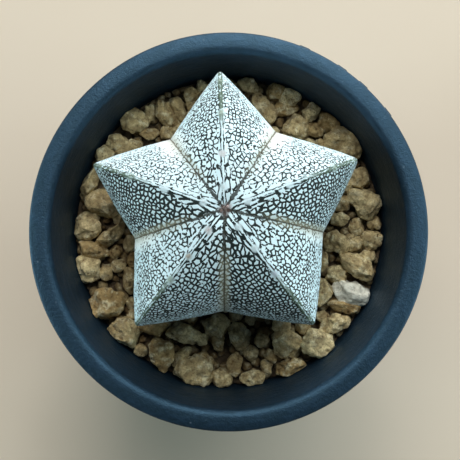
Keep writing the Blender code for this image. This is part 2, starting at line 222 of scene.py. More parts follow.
# %% A geometry tree
class Shape(Nodes):
    """A Geometry Nodes tree with named inputs."""

    KINDS = {"number": "NodeSocketFloat", "whole": "NodeSocketInt", "piece": "NodeSocketObject"}

    def __init__(self, name, **inputs):
        tree = bpy.data.node_groups.new(name, "GeometryNodeTree")
        super().__init__(tree)
        tree.interface.new_socket("Geometry", in_out="OUTPUT", socket_type="NodeSocketGeometry")
        for label, kind in inputs.items():
            tree.interface.new_socket(label, in_out="INPUT", socket_type=self.KINDS[kind])
        start = tree.nodes.new("NodeGroupInput")
        self.given = {label: Amount(self, start.outputs[label]) for label in inputs}
        self.spot = self.add("GeometryNodeInputPosition")

    def named(self, label, kind="FLOAT"):
        return self.add("GeometryNodeInputNamedAttribute", {"data_type": kind}, {"Name": label})

    def geometry_of(self, piece):
        return self.add("GeometryNodeObjectInfo", inputs={"Object": piece}, output="Geometry")

    def sample(self, geometry, value, index, kind="FLOAT"):
        """A value that the points of a helper piece carry, read by a point's number."""
        wanted = {"Geometry": geometry, "Value": value, "Index": index}
        return self.add("GeometryNodeSampleIndex", {"data_type": kind, "domain": "POINT"}, wanted)

    def keep(self, geometry, label, value, kind="FLOAT", domain="POINT"):
        """Stores a value on the geometry under a label, for the finish to read."""
        wanted = {"Geometry": geometry, "Name": label, "Value": value}
        return self.add("GeometryNodeStoreNamedAttribute", {"data_type": kind, "domain": domain}, wanted)

    def move(self, geometry, position=None, offset=None):
        wanted = {"Geometry": geometry, "Position": position, "Offset": offset}
        return self.add("GeometryNodeSetPosition", inputs=wanted)

    def swell(self, geometry, by):
        """Moves each point along the way that it faces."""
        return self.move(geometry, offset=self.scaled(self.add("GeometryNodeInputNormal"), by))

    def realized(self, geometry):
        return self.add("GeometryNodeRealizeInstances", inputs={"Geometry": geometry})

    def strewn(self, points, instance):
        """The instance at every point, turned and sized as the point says."""
        wanted = {"Points": self.geometry_of(points), "Instance": instance}
        for socket, label in (("Rotation", "turn"), ("Scale", "size")):
            wanted[socket] = self.named(label, "FLOAT_VECTOR")
        return self.realized(self.add("GeometryNodeInstanceOnPoints", inputs=wanted))

    def finish(self, geometry, material):
        """Ends the tree: plain geometry in one material."""
        wanted = {"Geometry": self.realized(geometry), "Material": material}
        done = self.add("GeometryNodeSetMaterial", inputs=wanted)
        self.tree.links.new(done.socket, self.tree.nodes.new("NodeGroupOutput").inputs["Geometry"])


# %% Pieces and plain meshes
def link(piece):
    bpy.context.scene.collection.objects.link(piece)
    return piece


def triangles(mesh):
    return sum(len(face.vertices) - 2 for face in mesh.polygons)


def mesh_of(bm, name):
    """Keeps what bmesh has made as a mesh."""
    mesh = bpy.data.meshes.new(name)
    bm.to_mesh(mesh)
    bm.free()
    return mesh


def make_plain(piece):
    """Keeps what a piece's modifiers make of it as its mesh, and removes them."""
    made = piece.evaluated_get(bpy.context.evaluated_depsgraph_get())
    mesh = bpy.data.meshes.new_from_object(made)
    piece.modifiers.clear()
    piece.data = mesh


def grow(name, shape, **values):
    """Runs a geometry tree with the given values and keeps the result as a plain mesh."""
    piece = link(bpy.data.objects.new(name, bpy.data.meshes.new(name)))
    modifier = piece.modifiers.new("shape", "NODES")
    modifier.node_group = shape.tree
    for item in shape.tree.interface.items_tree:
        if item.item_type == "SOCKET" and item.name in values:
            modifier[item.identifier] = values[item.name]
    make_plain(piece)
    piece.data.name = name
    piece.data.shade_smooth()
    print(f"{name}: {triangles(piece.data)} triangles")
    return piece


def points_piece(name, places, **columns):
    """A helper piece of loose points, each with a place and named values for a tree to read."""
    mesh = bpy.data.meshes.new(name)
    mesh.from_pydata([tuple(place) for place in places], [], [])
    for label, values in columns.items():
        values = np.asarray(values, dtype=np.float32)
        kind = "FLOAT_VECTOR" if values.ndim == 2 else "FLOAT"
        data = mesh.attributes.new(label, kind, "POINT").data
        data.foreach_set("vector" if values.ndim == 2 else "value", values.ravel())
    return link(bpy.data.objects.new(name, mesh))


# %% [markdown]
# ## Camera
# The photo looks straight down on the pot, whose rim fills it. The rim is a true circle in it, and
# the inner wall shows evenly all round, so the camera stands over the pot's middle. Its height
# follows from how much of the tapered inner wall shows between the rim and the grit.

# %% Camera
RIM_HEIGHT = 90 * MM
CAMERA_HEIGHT = 400 * MM
CAMERA_PLACE = (0.377 * MM, 0.529 * MM)
PHOTO_WIDTH_AT_RIM = 120.43 * MM

lens = bpy.data.cameras.new("camera")
lens.sensor_width = 36.0
lens.lens = lens.sensor_width * (CAMERA_HEIGHT - RIM_HEIGHT) / PHOTO_WIDTH_AT_RIM
lens.clip_start = 0.01
camera = link(bpy.data.objects.new("camera", lens))
camera.location = (*CAMERA_PLACE, CAMERA_HEIGHT)
bpy.context.scene.camera = camera
print(f"lens {lens.lens:.1f} mm, {CAMERA_HEIGHT - RIM_HEIGHT:.3f} m above the rim")

# %% [markdown]
# ## Light and floor
# The photo is lit by a large soft window beyond the far side, which leaves the near sides of the
# ribs in shade, and by weaker bluish sky light from the left and the right. Six area lights copy
# that: four share the window from high above it down to its sill, and one stands low on each side.
# The larger a lamp, the softer its shadow. The camera doesn't see the lamps. The floor is plain and
# pale, and only catches the pot's shadow.

# %% Lamps
LAMP_DISTANCE = 0.9
# Each lamp: name, azimuth and elevation in degrees, width in metres, power in watts, and tint.
LAMPS = (
    ("window_top", 100, 56, 0.42, 3.3, (1.0, 0.99, 0.94)),
    ("window_right", 45, 54, 0.42, 2.3, (0.86, 0.98, 1.0)),
    ("window", 86, 30, 0.42, 4.1, (1.0, 1.0, 1.0)),
    ("window_sill", 62, 10, 0.42, 3.8, (0.96, 1.0, 1.0)),
    ("left_side", 184, 10, 0.42, 5.0, (0.74, 0.98, 1.0)),
    ("right_side", 352, 12, 0.5, 4.5, (0.74, 0.97, 1.0)),
)
for name, azimuth, elevation, size, power, tint in LAMPS:
    data = bpy.data.lights.new(name, "AREA")
    data.shape = "SQUARE"
    data.size = size
    data.energy = power
    data.color = tint
    turn = math.radians(azimuth)
    rise = math.radians(elevation)
    outward = Vector((math.cos(turn) * math.cos(rise), math.sin(turn) * math.cos(rise), math.sin(rise)))
    piece = link(bpy.data.objects.new(name, data))
    piece.visible_camera = False
    piece.location = Vector((0.0, 0.0, RIM_HEIGHT)) + outward * LAMP_DISTANCE
    piece.rotation_mode = "QUATERNION"
    piece.rotation_quaternion = outward.to_track_quat("Z", "Y")
print(f"{len(LAMPS)} lamps, {sum(lamp[4] for lamp in LAMPS):.0f} W")

# %% Sky
sky = bpy.data.worlds.new("sky")
sky.use_nodes = True
background = sky.node_tree.nodes["Background"]
background.inputs["Color"].default_value = (0.72, 0.86, 1.0, 1.0)
background.inputs["Strength"].default_value = 0.03
bpy.context.scene.world = sky
bpy.context.scene.view_settings.view_transform = "Standard"

# %% Floor
bm = bmesh.new()
bmesh.ops.create_grid(bm, x_segments=1, y_segments=1, size=1.5)
floor = link(bpy.data.objects.new("floor", mesh_of(bm, "floor")))
paint = Finish("pale_floor", Roughness=0.7)
cloud = paint.noise(paint.place, 9.0, 3.0)
paint.show("Base Color", paint.mix(cloud, (0.60, 0.49, 0.38), (0.68, 0.57, 0.46)))
paint.cover(floor)

# %% [markdown]
# ## Pot shape
# The real pot is moulded: a tapered wall, a flat rim with a lip that hangs clear of the wall, a
# floor with drainage holes and a foot ring with three notches. A profile that is turned round the
# axis gives all of it but the holes and notches, which are cut, and four small pips on the lip,
# which are joined on. Every corner of the profile gets a small arc, because moulded plastic has no
# sharp edges, and those arcs catch the light along the rim.

# %% Pot sizes
MOUTH_RADIUS = 46.9 * MM
WALL_TAPER = math.radians(9.5)
WALL = 2.0 * MM
RIM_RADIUS = 52.5 * MM
RIM_FALL = 0.7 * MM
RIM_UNDERSIDE = 88 * MM
LIP_END = 81 * MM
FOOT_WIDTH = 2.6 * MM
FLOOR_UNDERSIDE = 4.0 * MM
FLOOR_TOP = 6.2 * MM
MIDDLE_HOLE_RADIUS = 4.5 * MM
# Holes, notches and pips: their azimuths, and the block of each, sized outwards, sideways and up.
SIDE_HOLES = (30, 90, 150, 210, 270, 330)
SIDE_HOLE = Vector((7.0, 7.0, 6.0)) * MM
SIDE_HOLE_PLACE = (19 * MM, 5 * MM)
NOTCHES = (90, 210, 330)
NOTCH = Vector((8.0, 6.0, 2.4)) * MM
PIPS = (37.0, 47.5, 55.3, 67.5)
PIP = Vector((1.6, 3.4, 3.0)) * MM
PIP_PROUD = 0.45 * MM
PIP_BELOW_RIM = 4 * MM
POT_SEGMENTS = 240
CLEARANCE = 0.3 * MM


def on_circle(azimuth, radius):
    """The point at an azimuth in degrees and a radius."""
    angle = math.radians(azimuth)
    return Vector((math.cos(angle), math.sin(angle))) * radius


def inner_wall(height):
    return MOUTH_RADIUS - (RIM_HEIGHT - height) * math.tan(WALL_TAPER)


def outer_wall(height):
    return inner_wall(height) + WALL / math.cos(WALL_TAPER)


# %% The pot's profile with rounded corners
def rounded(corners, steps=6):
    """Points along a closed profile, in which each corner is an arc of its own radius."""
    points = []
    for index, (radius, height, arc) in enumerate(corners):
        corner = Vector((radius, height))
        before = (Vector(corners[index - 1][:2]) - corner).normalized()
        after = (Vector(corners[(index + 1) % len(corners)][:2]) - corner).normalized()
        half = before.angle(after) / 2
        middle = corner + (before + after).normalized() * arc / math.sin(half)
        start = corner + before * arc / math.tan(half) - middle
        sweep = start.angle_signed(corner + after * arc / math.tan(half) - middle)
        for step in range(steps + 1):
            points.append(middle + Matrix.Rotation(-sweep * step / steps, 2) @ start)
    return points


# Each corner: radius, height, and the radius of its arc.
corners = [
    (outer_wall(0) - FOOT_WIDTH, 0.0, 0.4 * MM),
    (outer_wall(0), 0.0, 0.6 * MM),
    (outer_wall(RIM_UNDERSIDE), RIM_UNDERSIDE, 0.7 * MM),
    (RIM_RADIUS - 1.6 * MM, RIM_UNDERSIDE, 0.5 * MM),
    (RIM_RADIUS - 1.95 * MM, LIP_END, 0.4 * MM),
    (RIM_RADIUS - 0.35 * MM, LIP_END, 0.5 * MM),
    (RIM_RADIUS, RIM_HEIGHT - RIM_FALL, 0.8 * MM),
    (RIM_RADIUS - 2.6 * MM, RIM_HEIGHT, 9.0 * MM),
    (MOUTH_RADIUS, RIM_HEIGHT, 2.0 * MM),
    (inner_wall(FLOOR_TOP), FLOOR_TOP, 3.0 * MM),
    (MIDDLE_HOLE_RADIUS, FLOOR_TOP, 0.4 * MM),
    (MIDDLE_HOLE_RADIUS, FLOOR_UNDERSIDE, 0.4 * MM),
    (outer_wall(0) - FOOT_WIDTH, FLOOR_UNDERSIDE, 0.6 * MM),
]
profile = rounded(corners)
print(f"the pot's profile has {len(profile)} points")

# %% Tools to turn, cut and join
def ringed(name, rings):
    """A closed tube of faces round the Z axis, through rings of places and back to the first."""
    bm = bmesh.new()
    rings = [[bm.verts.new(place) for place in ring] for ring in rings]
    for ring, following in zip(rings, rings[1:] + rings[:1]):
        for j in range(len(ring)):
            k = (j + 1) % len(ring)
            bm.faces.new((ring[j], ring[k], following[k], following[j]))
    bmesh.ops.recalc_face_normals(bm, faces=bm.faces)
    return link(bpy.data.objects.new(name, mesh_of(bm, name)))


def cutter(matrix, size, round_segments=0, bevel=0.0):
    """A block, or a cylinder if it has segments, that is cut from a piece or joined to it."""
    bm = bmesh.new()
    if round_segments:
        bmesh.ops.create_cone(bm, cap_ends=True, segments=round_segments, radius1=0.5, radius2=0.5, depth=1)
    else:
        bmesh.ops.create_cube(bm, size=1.0)
    bmesh.ops.scale(bm, verts=bm.verts, vec=size)
    if bevel:
        bmesh.ops.bevel(bm, geom=list(bm.edges), offset=bevel, segments=3, profile=0.5, affect="EDGES")
    bmesh.ops.transform(bm, verts=bm.verts, matrix=matrix)
    return bpy.data.objects.new("cutter", mesh_of(bm, "cutter"))


def combine(piece, others, operation):
    """Cuts the others from the piece or joins them to it, then removes them."""
    group = bpy.data.collections.new("others")
    bpy.context.scene.collection.children.link(group)
    for other in others:
        group.objects.link(other)
    step = piece.modifiers.new("combine", "BOOLEAN")
    step.operation = operation
    step.solver = "EXACT"
    step.operand_type = "COLLECTION"
    step.collection = group
    make_plain(piece)
    for other in others:
        bpy.data.objects.remove(other, do_unlink=True)
    bpy.data.collections.remove(group)


def turned_by(azimuth, radius, height):
    """A matrix that carries a block to an azimuth and radius, facing outwards."""
    place = Matrix.Translation((*on_circle(azimuth, radius), height))
    return place @ Matrix.Rotation(math.radians(azimuth), 4, "Z")


# %% Turn the pot, cut its holes and notches, and add its pips
around = [360 * j / POT_SEGMENTS for j in range(POT_SEGMENTS)]
pot = ringed(
    "pot_turned",
    [[(*on_circle(azimuth, radius), height) for azimuth in around] for radius, height in profile],
)
cuts = [cutter(turned_by(azimuth, *SIDE_HOLE_PLACE), SIDE_HOLE, 40) for azimuth in SIDE_HOLES]
foot_middle = outer_wall(0) - FOOT_WIDTH / 2
cuts += [cutter(turned_by(azimuth, foot_middle, 0.0), NOTCH) for azimuth in NOTCHES]
combine(pot, cuts, "DIFFERENCE")
pip_out = RIM_RADIUS + PIP_PROUD - PIP.x / 2
pip_height = RIM_HEIGHT - PIP_BELOW_RIM
pips = [cutter(turned_by(azimuth, pip_out, pip_height), PIP, bevel=0.55 * MM) for azimuth in PIPS]
combine(pot, pips, "UNION")
pot.data.shade_smooth()
pot.data.set_sharp_from_angle(angle=math.radians(38))
print(f"pot: {triangles(pot.data)} triangles")

# %% [markdown]
# ## Pot finish
# The pot is dark navy polypropylene with a satin, slightly mottled skin. The mottling is drawn out
# into faint rings, as the melt flowed round the mould, so its noise reads the distance from the
# axis finely and the way round it coarsely. A little pale dust from the grit clings to it.

# %% Pot plastic
plastic = Finish("satin_navy_plastic", Specular_IOR_Level=1.0, Specular_Tint=(0.34, 0.68, 1.0, 1.0))
x, y, z = plastic.parts(plastic.place)
reach = (x * x + y * y) ** 0.5
flow_place = plastic.vector(x / reach * 0.030, y / reach * 0.030, reach + z)
flow = plastic.noise(plastic.vectors("MULTIPLY", (flow_place, (1.0, 1.0, 2.2))), 340.0, 4.0, 0.6)
mottle = plastic.noise(plastic.place, 1100.0, 3.0, 0.7)
broad = plastic.noise(plastic.place, 45.0, 2.0)
grain = plastic.noise(plastic.place, 2600.0, 2.0)
dust_cells = plastic.cells(plastic.place, 430.0)
dust_field = plastic.noise(plastic.place, 70.0, 2.0)
dust = (1 - dust_cells.fade(0.07, 0.16)) * dust_field.fade(0.50, 0.62)
streak = (flow * 0.6 + mottle * 0.4).fade(0.36, 0.66)
navy = plastic.layered(
    (0.005, 0.011, 0.018),
    (streak, (0.012, 0.026, 0.048)),
    (broad * 0.35, (0.005, 0.009, 0.014)),
    (dust * 0.35, (0.15, 0.20, 0.25)),
)
plastic.show("Base Color", navy)
plastic.show("Roughness", (mottle * 0.30 + 0.40 - streak * 0.06 + dust * 0.2).at_most(0.8))
plastic.relief(flow * 0.30 + mottle * 0.45 + grain * 0.25, 0.34 * MM, 0.9)
plastic.cover(pot)

# %% [markdown]
# ## Plant shape
# The plant is a star of five ribs that keeps its form from the ground to its crown: each level of
# it is the same star, scaled. So it follows a rule, and a geometry tree can sweep it. Python lists
# the star's outline once, and the rise of the profile once, and the tree lays a grid whose columns
# read the outline and whose rows read the profile.

# %% Plant sizes
PLANT_CENTRE = Vector((-0.9, 5.6)) * MM
EQUATOR = 91 * MM
CROWN_RISE = 22 * MM
CROWN_POWER = 2.15
COLLAR_HEIGHT = 66 * MM
COLLAR_RADIUS = 11 * MM
ROOT_END = 46 * MM
ROOT_END_SHARE = 4 / 11
MEAN_REACH = 36.5 * MM
MEAN_SIDE = 23.3 * MM
CREST_ROUNDING = 0.6 * MM
CREST_SOFTNESS = 0.48 * MM
GROOVE_SOFTNESS = 0.30 * MM
FACE_BELLY = 0.3 * MM
# Each rib: azimuth, reach at its tip, and how far from the axis its upper areoles sit.
RIBS = (
    (21.0, 36.7, (6.0, 17.0, 29.3, 35.0)),
    (92.1, 36.0, (5.5, 13.6, 24.0, 32.7)),
    (160.8, 36.1, (5.5, 15.5, 24.9, 33.5)),
    (232.2, 37.7, (6.5, 14.5, 22.0, 35.5)),
    (307.9, 37.4, (5.5, 12.0, 20.0, 35.0)),
)
# Each groove, after the rib of the same row: azimuth, and reach where the plant is widest.
GROOVES = ((57.1, 24.1), (127.6, 23.2), (197.7, 24.4), (269.6, 26.1), (347.4, 26.1))
# How dense the dark net is on each side of a rib, from the first rib's right side round: partly the plant's
# own net, partly painted shade, as the net is drawn denser on the sides that lie in shade.
NET_COVER_AND_SHADE = (0.77, 0.44, 0.53, 0.55, 0.40, 0.84, 0.51, 0.68, 0.82, 0.57)
# The skin's grid, whose columns are crowded towards the crests and grooves.
COLUMNS_A_SIDE = 38
CROWDING = 0.84
ROWS = 172
ROOT_STEPS = (0.4, 0.8, 1.0)

# %% [markdown]
# Each side of a rib is a curved strip that could be rolled out flat, like the side of a paper
# lantern. The outline therefore also carries each point's place across that strip, and the profile
# its place down it. The flock pattern is drawn on the strip rolled flat, so it isn't stretched
# anywhere. The strip's own number goes with it, to give each side a pattern of its own.

# %% The star's outline
def soften(distance, size):
    """How far a sharp edge is cut back at a distance from it, to round it off."""
    return math.hypot(distance, size) - distance


def star_outline():
    """One row for each column of the grid, all round the plant, groove to crest to groove."""
    rows = []
    for index, (azimuth, reach, _) in enumerate(RIBS):
        corner = on_circle(azimuth, reach * MM + CREST_ROUNDING)
        crest_out = corner.normalized()
        for order, (groove_azimuth, groove_reach) in enumerate((GROOVES[index - 1], GROOVES[index])):
            groove = on_circle(groove_azimuth, groove_reach * MM)
            side = corner - groove
            length = side.length
            out = side.orthogonal().normalized()
            if out.dot(corner + groove) < 0:
                out.negate()
            lead = math.sqrt(corner.length_squared - out.dot(corner) ** 2)
            for column in range(COLUMNS_A_SIDE + 1):
                even = column / COLUMNS_A_SIDE
                step = even - CROWDING * math.sin(2 * math.pi * even) / (2 * math.pi)
                step = step if order == 0 else 1 - step
                from_crest = (1 - step) * length
                from_groove = step * length
                point = groove.lerp(corner, step) + out * FACE_BELLY * 4 * step * (1 - step)
                point -= crest_out * soften(from_crest, CREST_SOFTNESS) * 1.25
                point += groove.normalized() * soften(from_groove, GROOVE_SOFTNESS) * 0.6
                rows.append((point, lead - from_crest, 2 * index + order, from_crest, from_groove))
    return rows


places, across, strips, from_crest, from_groove = zip(*star_outline())
star = points_piece(
    "star",
    [(*place, 0.0) for place in places],
    across=np.array(across) / MM,
    strip=strips,
    from_crest=np.array(from_crest) / MM,
    from_groove=np.array(from_groove) / MM,
    net_cover=[NET_COVER_AND_SHADE[strip] for strip in strips],
)
print(f"the star has {len(places)} columns")

# %% The profile
def spread(height):
    """How much of the star the plant has at a height, and how much of its round collar."""
    if height >= EQUATOR:
        rise = min(1.0, (height - EQUATOR) / CROWN_RISE)
        return (1 - rise**CROWN_POWER) ** (1 / CROWN_POWER), 0.0
    fall = min(1.0, (EQUATOR - height) / (EQUATOR - COLLAR_HEIGHT))
    share = math.sqrt(1 - fall * fall)
    root = max(0.0, (COLLAR_HEIGHT - height) / (COLLAR_HEIGHT - ROOT_END))
    return share, (1 - share) * (1 - root * (1 - ROOT_END_SHARE))


def rise_profile():
    """Rows from the apex down: share of the star, share of the collar, height, and way down a strip."""
    turns = np.linspace(0, math.pi / 2, 1200)
    heights = [EQUATOR + CROWN_RISE * math.cos(t) ** (2 / CROWN_POWER) for t in turns]
    heights += [EQUATOR - (EQUATOR - COLLAR_HEIGHT) * math.sin(t) for t in turns[1:]]
    fine = [(*spread(height), height) for height in heights]
    fine[0] = (0.0, 0.0, EQUATOR + CROWN_RISE)
    table = np.array(fine)

    def way(reach):
        """Length of the way down the profile to each row, for a part of the star of this reach."""
        radius = table[:, 0] * reach + table[:, 1] * COLLAR_RADIUS
        steps = np.hypot(np.diff(radius), np.diff(table[:, 2]))
        return np.concatenate(([0.0], np.cumsum(steps)))

    along = way(MEAN_REACH)
    down = way(MEAN_SIDE)
    even = np.linspace(0.0, along[-1], ROWS - len(ROOT_STEPS) - 1)
    rows = list(zip(*(np.interp(even, along, column) for column in (*table.T, down))))
    last = rows[-1]
    for share in ROOT_STEPS:
        height = COLLAR_HEIGHT + (ROOT_END - COLLAR_HEIGHT) * share
        rows.append((0.0, 1 - share * (1 - ROOT_END_SHARE), height, last[3] + COLLAR_HEIGHT - height))
    rows.append((0.0, 0.0, ROOT_END, rows[-1][3] + 4 * MM))
    return rows


rows = rise_profile()
rise = points_piece("rise", [row[:3] for row in rows], down=[row[3] / MM for row in rows])
print(f"the profile has {len(rows)} rows, {rows[-1][3]:.3f} m down a strip")

# %% [markdown]
# ## Where the areoles sit
# Along each crest sit areoles, the cushions of wool from which a cactus grows. On this plant they
# are small and matted, brownish, pink or green, with the youngest ones crowded at the crown. Their
# places are listed before the skin is made, because the skin takes their tint round each of them.

# %% Areole places
def crest_point(azimuth, reach, height):
    share, collar = spread(height)
    return Vector((*(PLANT_CENTRE + on_circle(azimuth, reach * share + COLLAR_RADIUS * collar)), height))


AREOLE_TINTS = {
    "green": (0.29, 0.38, 0.31),
    "pink": (0.48, 0.36, 0.35),
    "brown": (0.36, 0.33, 0.28),
    "violet": (0.42, 0.48, 0.58),
    "pale": (0.56, 0.66, 0.70),
    "red": (0.10, 0.05, 0.04),
}
RIB_TINTS = (
    ("pale", "pale", "green", "green"),
    ("pale", "pink", "green", "green"),
    ("pale", "pale", "green", "green"),
    ("pink", "brown", "green", "green"),
    ("pale", "pale", "violet", "green"),
)
LOWER_AREOLES = ((84.5 * MM, "green"), (78.5 * MM, "brown"))
# Half sizes along the rib, across it and upwards, in millimetres.
PALE_AREOLE = (0.56, 0.34, 0.26)
OTHER_AREOLE = (0.80, 0.46, 0.30)
AREOLE_SUNK = 0.25 * MM
cushions = []
for (azimuth, reach, places), tints in zip(RIBS, RIB_TINTS):
    heights = [EQUATOR + CROWN_RISE * (1 - (p / reach) ** CROWN_POWER) ** (1 / CROWN_POWER) for p in places]
    for height, tint in (*zip(heights, tints), *LOWER_AREOLES):
        point = crest_point(azimuth, reach * MM, height)
        along = (crest_point(azimuth, reach * MM, height - 0.3 * MM) - point).normalized()
        outward = along.cross(Vector((*on_circle(azimuth + 90, 1.0), 0.0)))
        turn = Matrix((along, outward.cross(along), outward)).transposed().to_euler()
        size = PALE_AREOLE if tint == "pale" else OTHER_AREOLE
        cushions.append((point - outward * AREOLE_SUNK, turn, size, AREOLE_TINTS[tint]))
navel = Vector((*PLANT_CENTRE, EQUATOR + CROWN_RISE - 1.0 * MM))
for azimuth, *_ in RIBS:
    offset = Vector((*on_circle(azimuth * 1.3, (0.3 + (azimuth % 7) * 0.1) * MM), 0.0))
    turn = Euler((0.3, 0.2, math.radians(azimuth * 2.7)))
    tint = "pink" if azimuth > 300 else "red"
    cushions.append((navel + offset, turn, (0.58 - (azimuth % 5) * 0.06, 0.30, 0.34), AREOLE_TINTS[tint]))
places, turns, sizes, tints = zip(*cushions)
areole_points = points_piece(
    "areole_points", places, turn=turns, size=np.array(sizes) * MM, wool_tint=tints
)
print(f"{len(cushions)} areoles")

# %% [markdown]
# The faces join each column to the next and each row to the next. They are listed in Python, so
# that the skin is closed from the start: one point at the crown, one at the root, and the last
# column joined to the first. Each corner of a face knows its column, because a crest or a groove
# belongs to two strips at once.

# %% The lantern: faces without a shape yet
def lantern(strips, steps, rows):
    """A closed ball of faces whose points and corners carry their column and row."""
    count = strips * steps
    columns = [(j // steps) * (steps + 1) + j % steps for j in range(count)]
    places = [(columns[0], 0)]
    for row in range(1, rows - 1):
        places += [(column, row) for column in columns]
    places.append((columns[0], rows - 1))
    faces = []
    corner_columns = []
    for row in range(rows - 1):
        for j in range(count):
            k = (j + 1) % count
            upper = (0, 0) if row == 0 else (1 + (row - 1) * count + j, 1 + (row - 1) * count + k)
            lower = (1 + row * count + j, 1 + row * count + k)
            left, right = columns[j], columns[j] + 1
            if row == 0:
                faces.append((0, *lower))
                corner_columns += [left + 0.5, left, right]
            elif row == rows - 2:
                faces.append((upper[1], upper[0], len(places) - 1))
                corner_columns += [right, left, left + 0.5]
            else:
                faces.append((upper[0], lower[0], lower[1], upper[1]))
                corner_columns += [left, left, right, right]
    mesh = bpy.data.meshes.new("lantern")
    mesh.from_pydata([(0.0, 0.0, 0.0)] * len(places), [], faces)
    for label, values, domain in (
        ("column", [place[0] for place in places], "POINT"),
        ("row", [place[1] for place in places], "POINT"),
        ("corner_column", corner_columns, "CORNER"),
    ):
        mesh.attributes.new(label, "FLOAT", domain).data.foreach_set("value", np.array(values, np.float32))
    return link(bpy.data.objects.new("lantern", mesh))


skeleton = lantern(2 * len(RIBS), COLUMNS_A_SIDE, len(rows))

# %% The tree that sweeps the star along the profile
sweep = Shape("sweep_star", lantern="piece", star="piece", rise="piece", areoles="piece",
              collar_radius="number", navel_depth="number", navel_radius="number", unevenness="number")
given = sweep.given
star_points = sweep.geometry_of(given["star"])
rise_points = sweep.geometry_of(given["rise"])
row = sweep.named("row")
flat = sweep.sample(star_points, sweep.spot, sweep.named("column"), "FLOAT_VECTOR")
level = sweep.sample(rise_points, sweep.spot, row, "FLOAT_VECTOR")
share, collar, height = sweep.parts(level)
ring = sweep.shift(sweep.scaled(flat, share), sweep.vectors("NORMALIZE", (flat,)),
                   collar * given["collar_radius"])
hollow = (sweep.vectors("LENGTH", (ring,), "Value") / given["navel_radius"]) ** 2.0
dip = given["navel_depth"] * hollow.calculate("EXPONENT", hollow * -1.0)
dip = dip * height.calculate("GREATER_THAN", height, EQUATOR)
lifted = sweep.shift(ring, sweep.vector(0.0, 0.0, height - dip))
lifted = sweep.shift(lifted, (*PLANT_CENTRE, 0.0))
body = sweep.move(sweep.geometry_of(given["lantern"]), position=lifted)

# %% The same tree: what the skin knows of its place on a strip
size_here = share + collar * COLLAR_RADIUS / MEAN_REACH
across, strip, from_crest, from_groove, net_cover = (
    sweep.sample(star_points, sweep.named(label), sweep.named("corner_column"))
    for label in ("across", "strip", "from_crest", "from_groove", "net_cover")
)
down = sweep.sample(rise_points, sweep.named("down"), row)
for label, place in (
    ("skin_place", sweep.vector(across * size_here, down, strip)),
    ("skin_gaps", sweep.vector(from_crest * size_here, from_groove * size_here, net_cover)),
):
    body = sweep.keep(body, label, place, "FLOAT_VECTOR", "CORNER")

# %% The same tree: distance and tint of the nearest areole, and uneven sides
areole_places = sweep.geometry_of(given["areoles"])
areole_gap = sweep.add("GeometryNodeProximity", {"target_element": "POINTS"},
                       {0: areole_places, "Sample Position": sweep.spot}, "Distance")
closest = sweep.add("GeometryNodeSampleNearest", {"domain": "POINT"}, {0: areole_places, 1: sweep.spot})
areole_tint = sweep.sample(areole_places, sweep.named("wool_tint", "FLOAT_VECTOR"), closest, "FLOAT_VECTOR")
body = sweep.keep(body, "areole_gap", areole_gap / MM)
body = sweep.keep(body, "areole_tint", areole_tint, "FLOAT_VECTOR")
body = sweep.swell(body, (sweep.noise(sweep.spot, 130.0, 2.0) - 0.5) * given["unevenness"])

# %% [markdown]
# ## Plant finish
# The skin is almost black-green. Wool tufts cover it in plump grains with bare skin between them,
# so it looks like a pale map with a dark net on it. The grains are longer near the crown and short
# towards the rib tips, and lie aslant to the crest. Cells from a Voronoi texture, on the rolled
# out strip, give the grains. The distance to the nearest cell edge draws a net of even lines, and
# the difference between the two nearest seeds, where that is smaller, rounds the grains' corners.
# A second layer of long cells makes the streaks beside each crest near the crown. A noise narrows the lines
# here and there, which breaks the net into strokes. Each strip has its own cover, because the net is dense
# on some sides of the ribs and thin on others; that cover is partly the plant's own and partly painted
# shade, drawn denser on the sides that lie in shade. The shaded sides also get painted shade in their
# grooves, and the lit sides paler grooves. A few dark bars, a thin line beside each crest and the dark
# groove complete it.

# %% Flock: place on the strip, in millimetres
flock = Finish("flocked_skin", Specular_IOR_Level=0.25, Sheen_Weight=0.03, Sheen_Roughness=0.5)
across, down, strip = flock.parts(flock.attribute("skin_place"))
from_crest, from_groove, cover = flock.parts(flock.attribute("skin_gaps"))
from_apex = (across * across + down * down) ** 0.5
GRAIN_TURN = math.radians(40)
long_way = across * math.sin(GRAIN_TURN) + down * math.cos(GRAIN_TURN)
short_way = across * math.cos(GRAIN_TURN) - down * math.sin(GRAIN_TURN)

# %% Flock: grains of the sides
GRAIN_SCATTER = 0.80
CORNER_ROUNDING = 0.84
lengthwise = 0.50 + from_apex * 0.0090
crosswise = 0.80 + from_apex * 0.0066
own = strip * 37.13
flat_place = flock.vector(across + own, down, strip * 3.7)
wander = flock.noise(flat_place, 0.16, 1.0, output="Color")
tremble = flock.noise(flat_place, 1.1, 2.0, output="Color")
seeded = flock.vector(long_way * lengthwise + own, short_way * crosswise, 0.0)
seeded = flock.shift(seeded, wander, 1.7)
seeded = flock.shift(seeded, tremble, 0.42)


def grain_gap(place, fineness):
    """Distance to the net in millimetres, smaller in the grains' corners, which rounds them."""
    edge, nearest, second = (
        flock.cells(place, feature=feature, dimensions="2D", scatter=GRAIN_SCATTER)
        for feature in ("DISTANCE_TO_EDGE", "F1", "F2")
    )
    return edge.at_most((second - nearest) * CORNER_ROUNDING) / fineness


side_gap = grain_gap(seeded, crosswise)

# %% Flock: long streaks by the crests and round the crown
streaked = flock.vector(from_apex * 0.28 + own, from_crest * 0.58, 0.0)
streaked = flock.shift(streaked, wander, 0.8)
streaked = flock.shift(streaked, tremble, 0.22)
streak_gap = grain_gap(streaked, 0.8)
ragged = flock.noise(flat_place, 0.7, 2.0)
by_crest = 1 - (from_crest + ragged * 1.8 + from_apex.fade(7.0, 18.0) * 2.0).fade(3.6, 4.4)
streaks = by_crest * (1 - from_apex.fade(19.0, 27.0))
gap = (side_gap + streaks * 0.3).at_most(streak_gap + (1 - streaks) * 0.3)

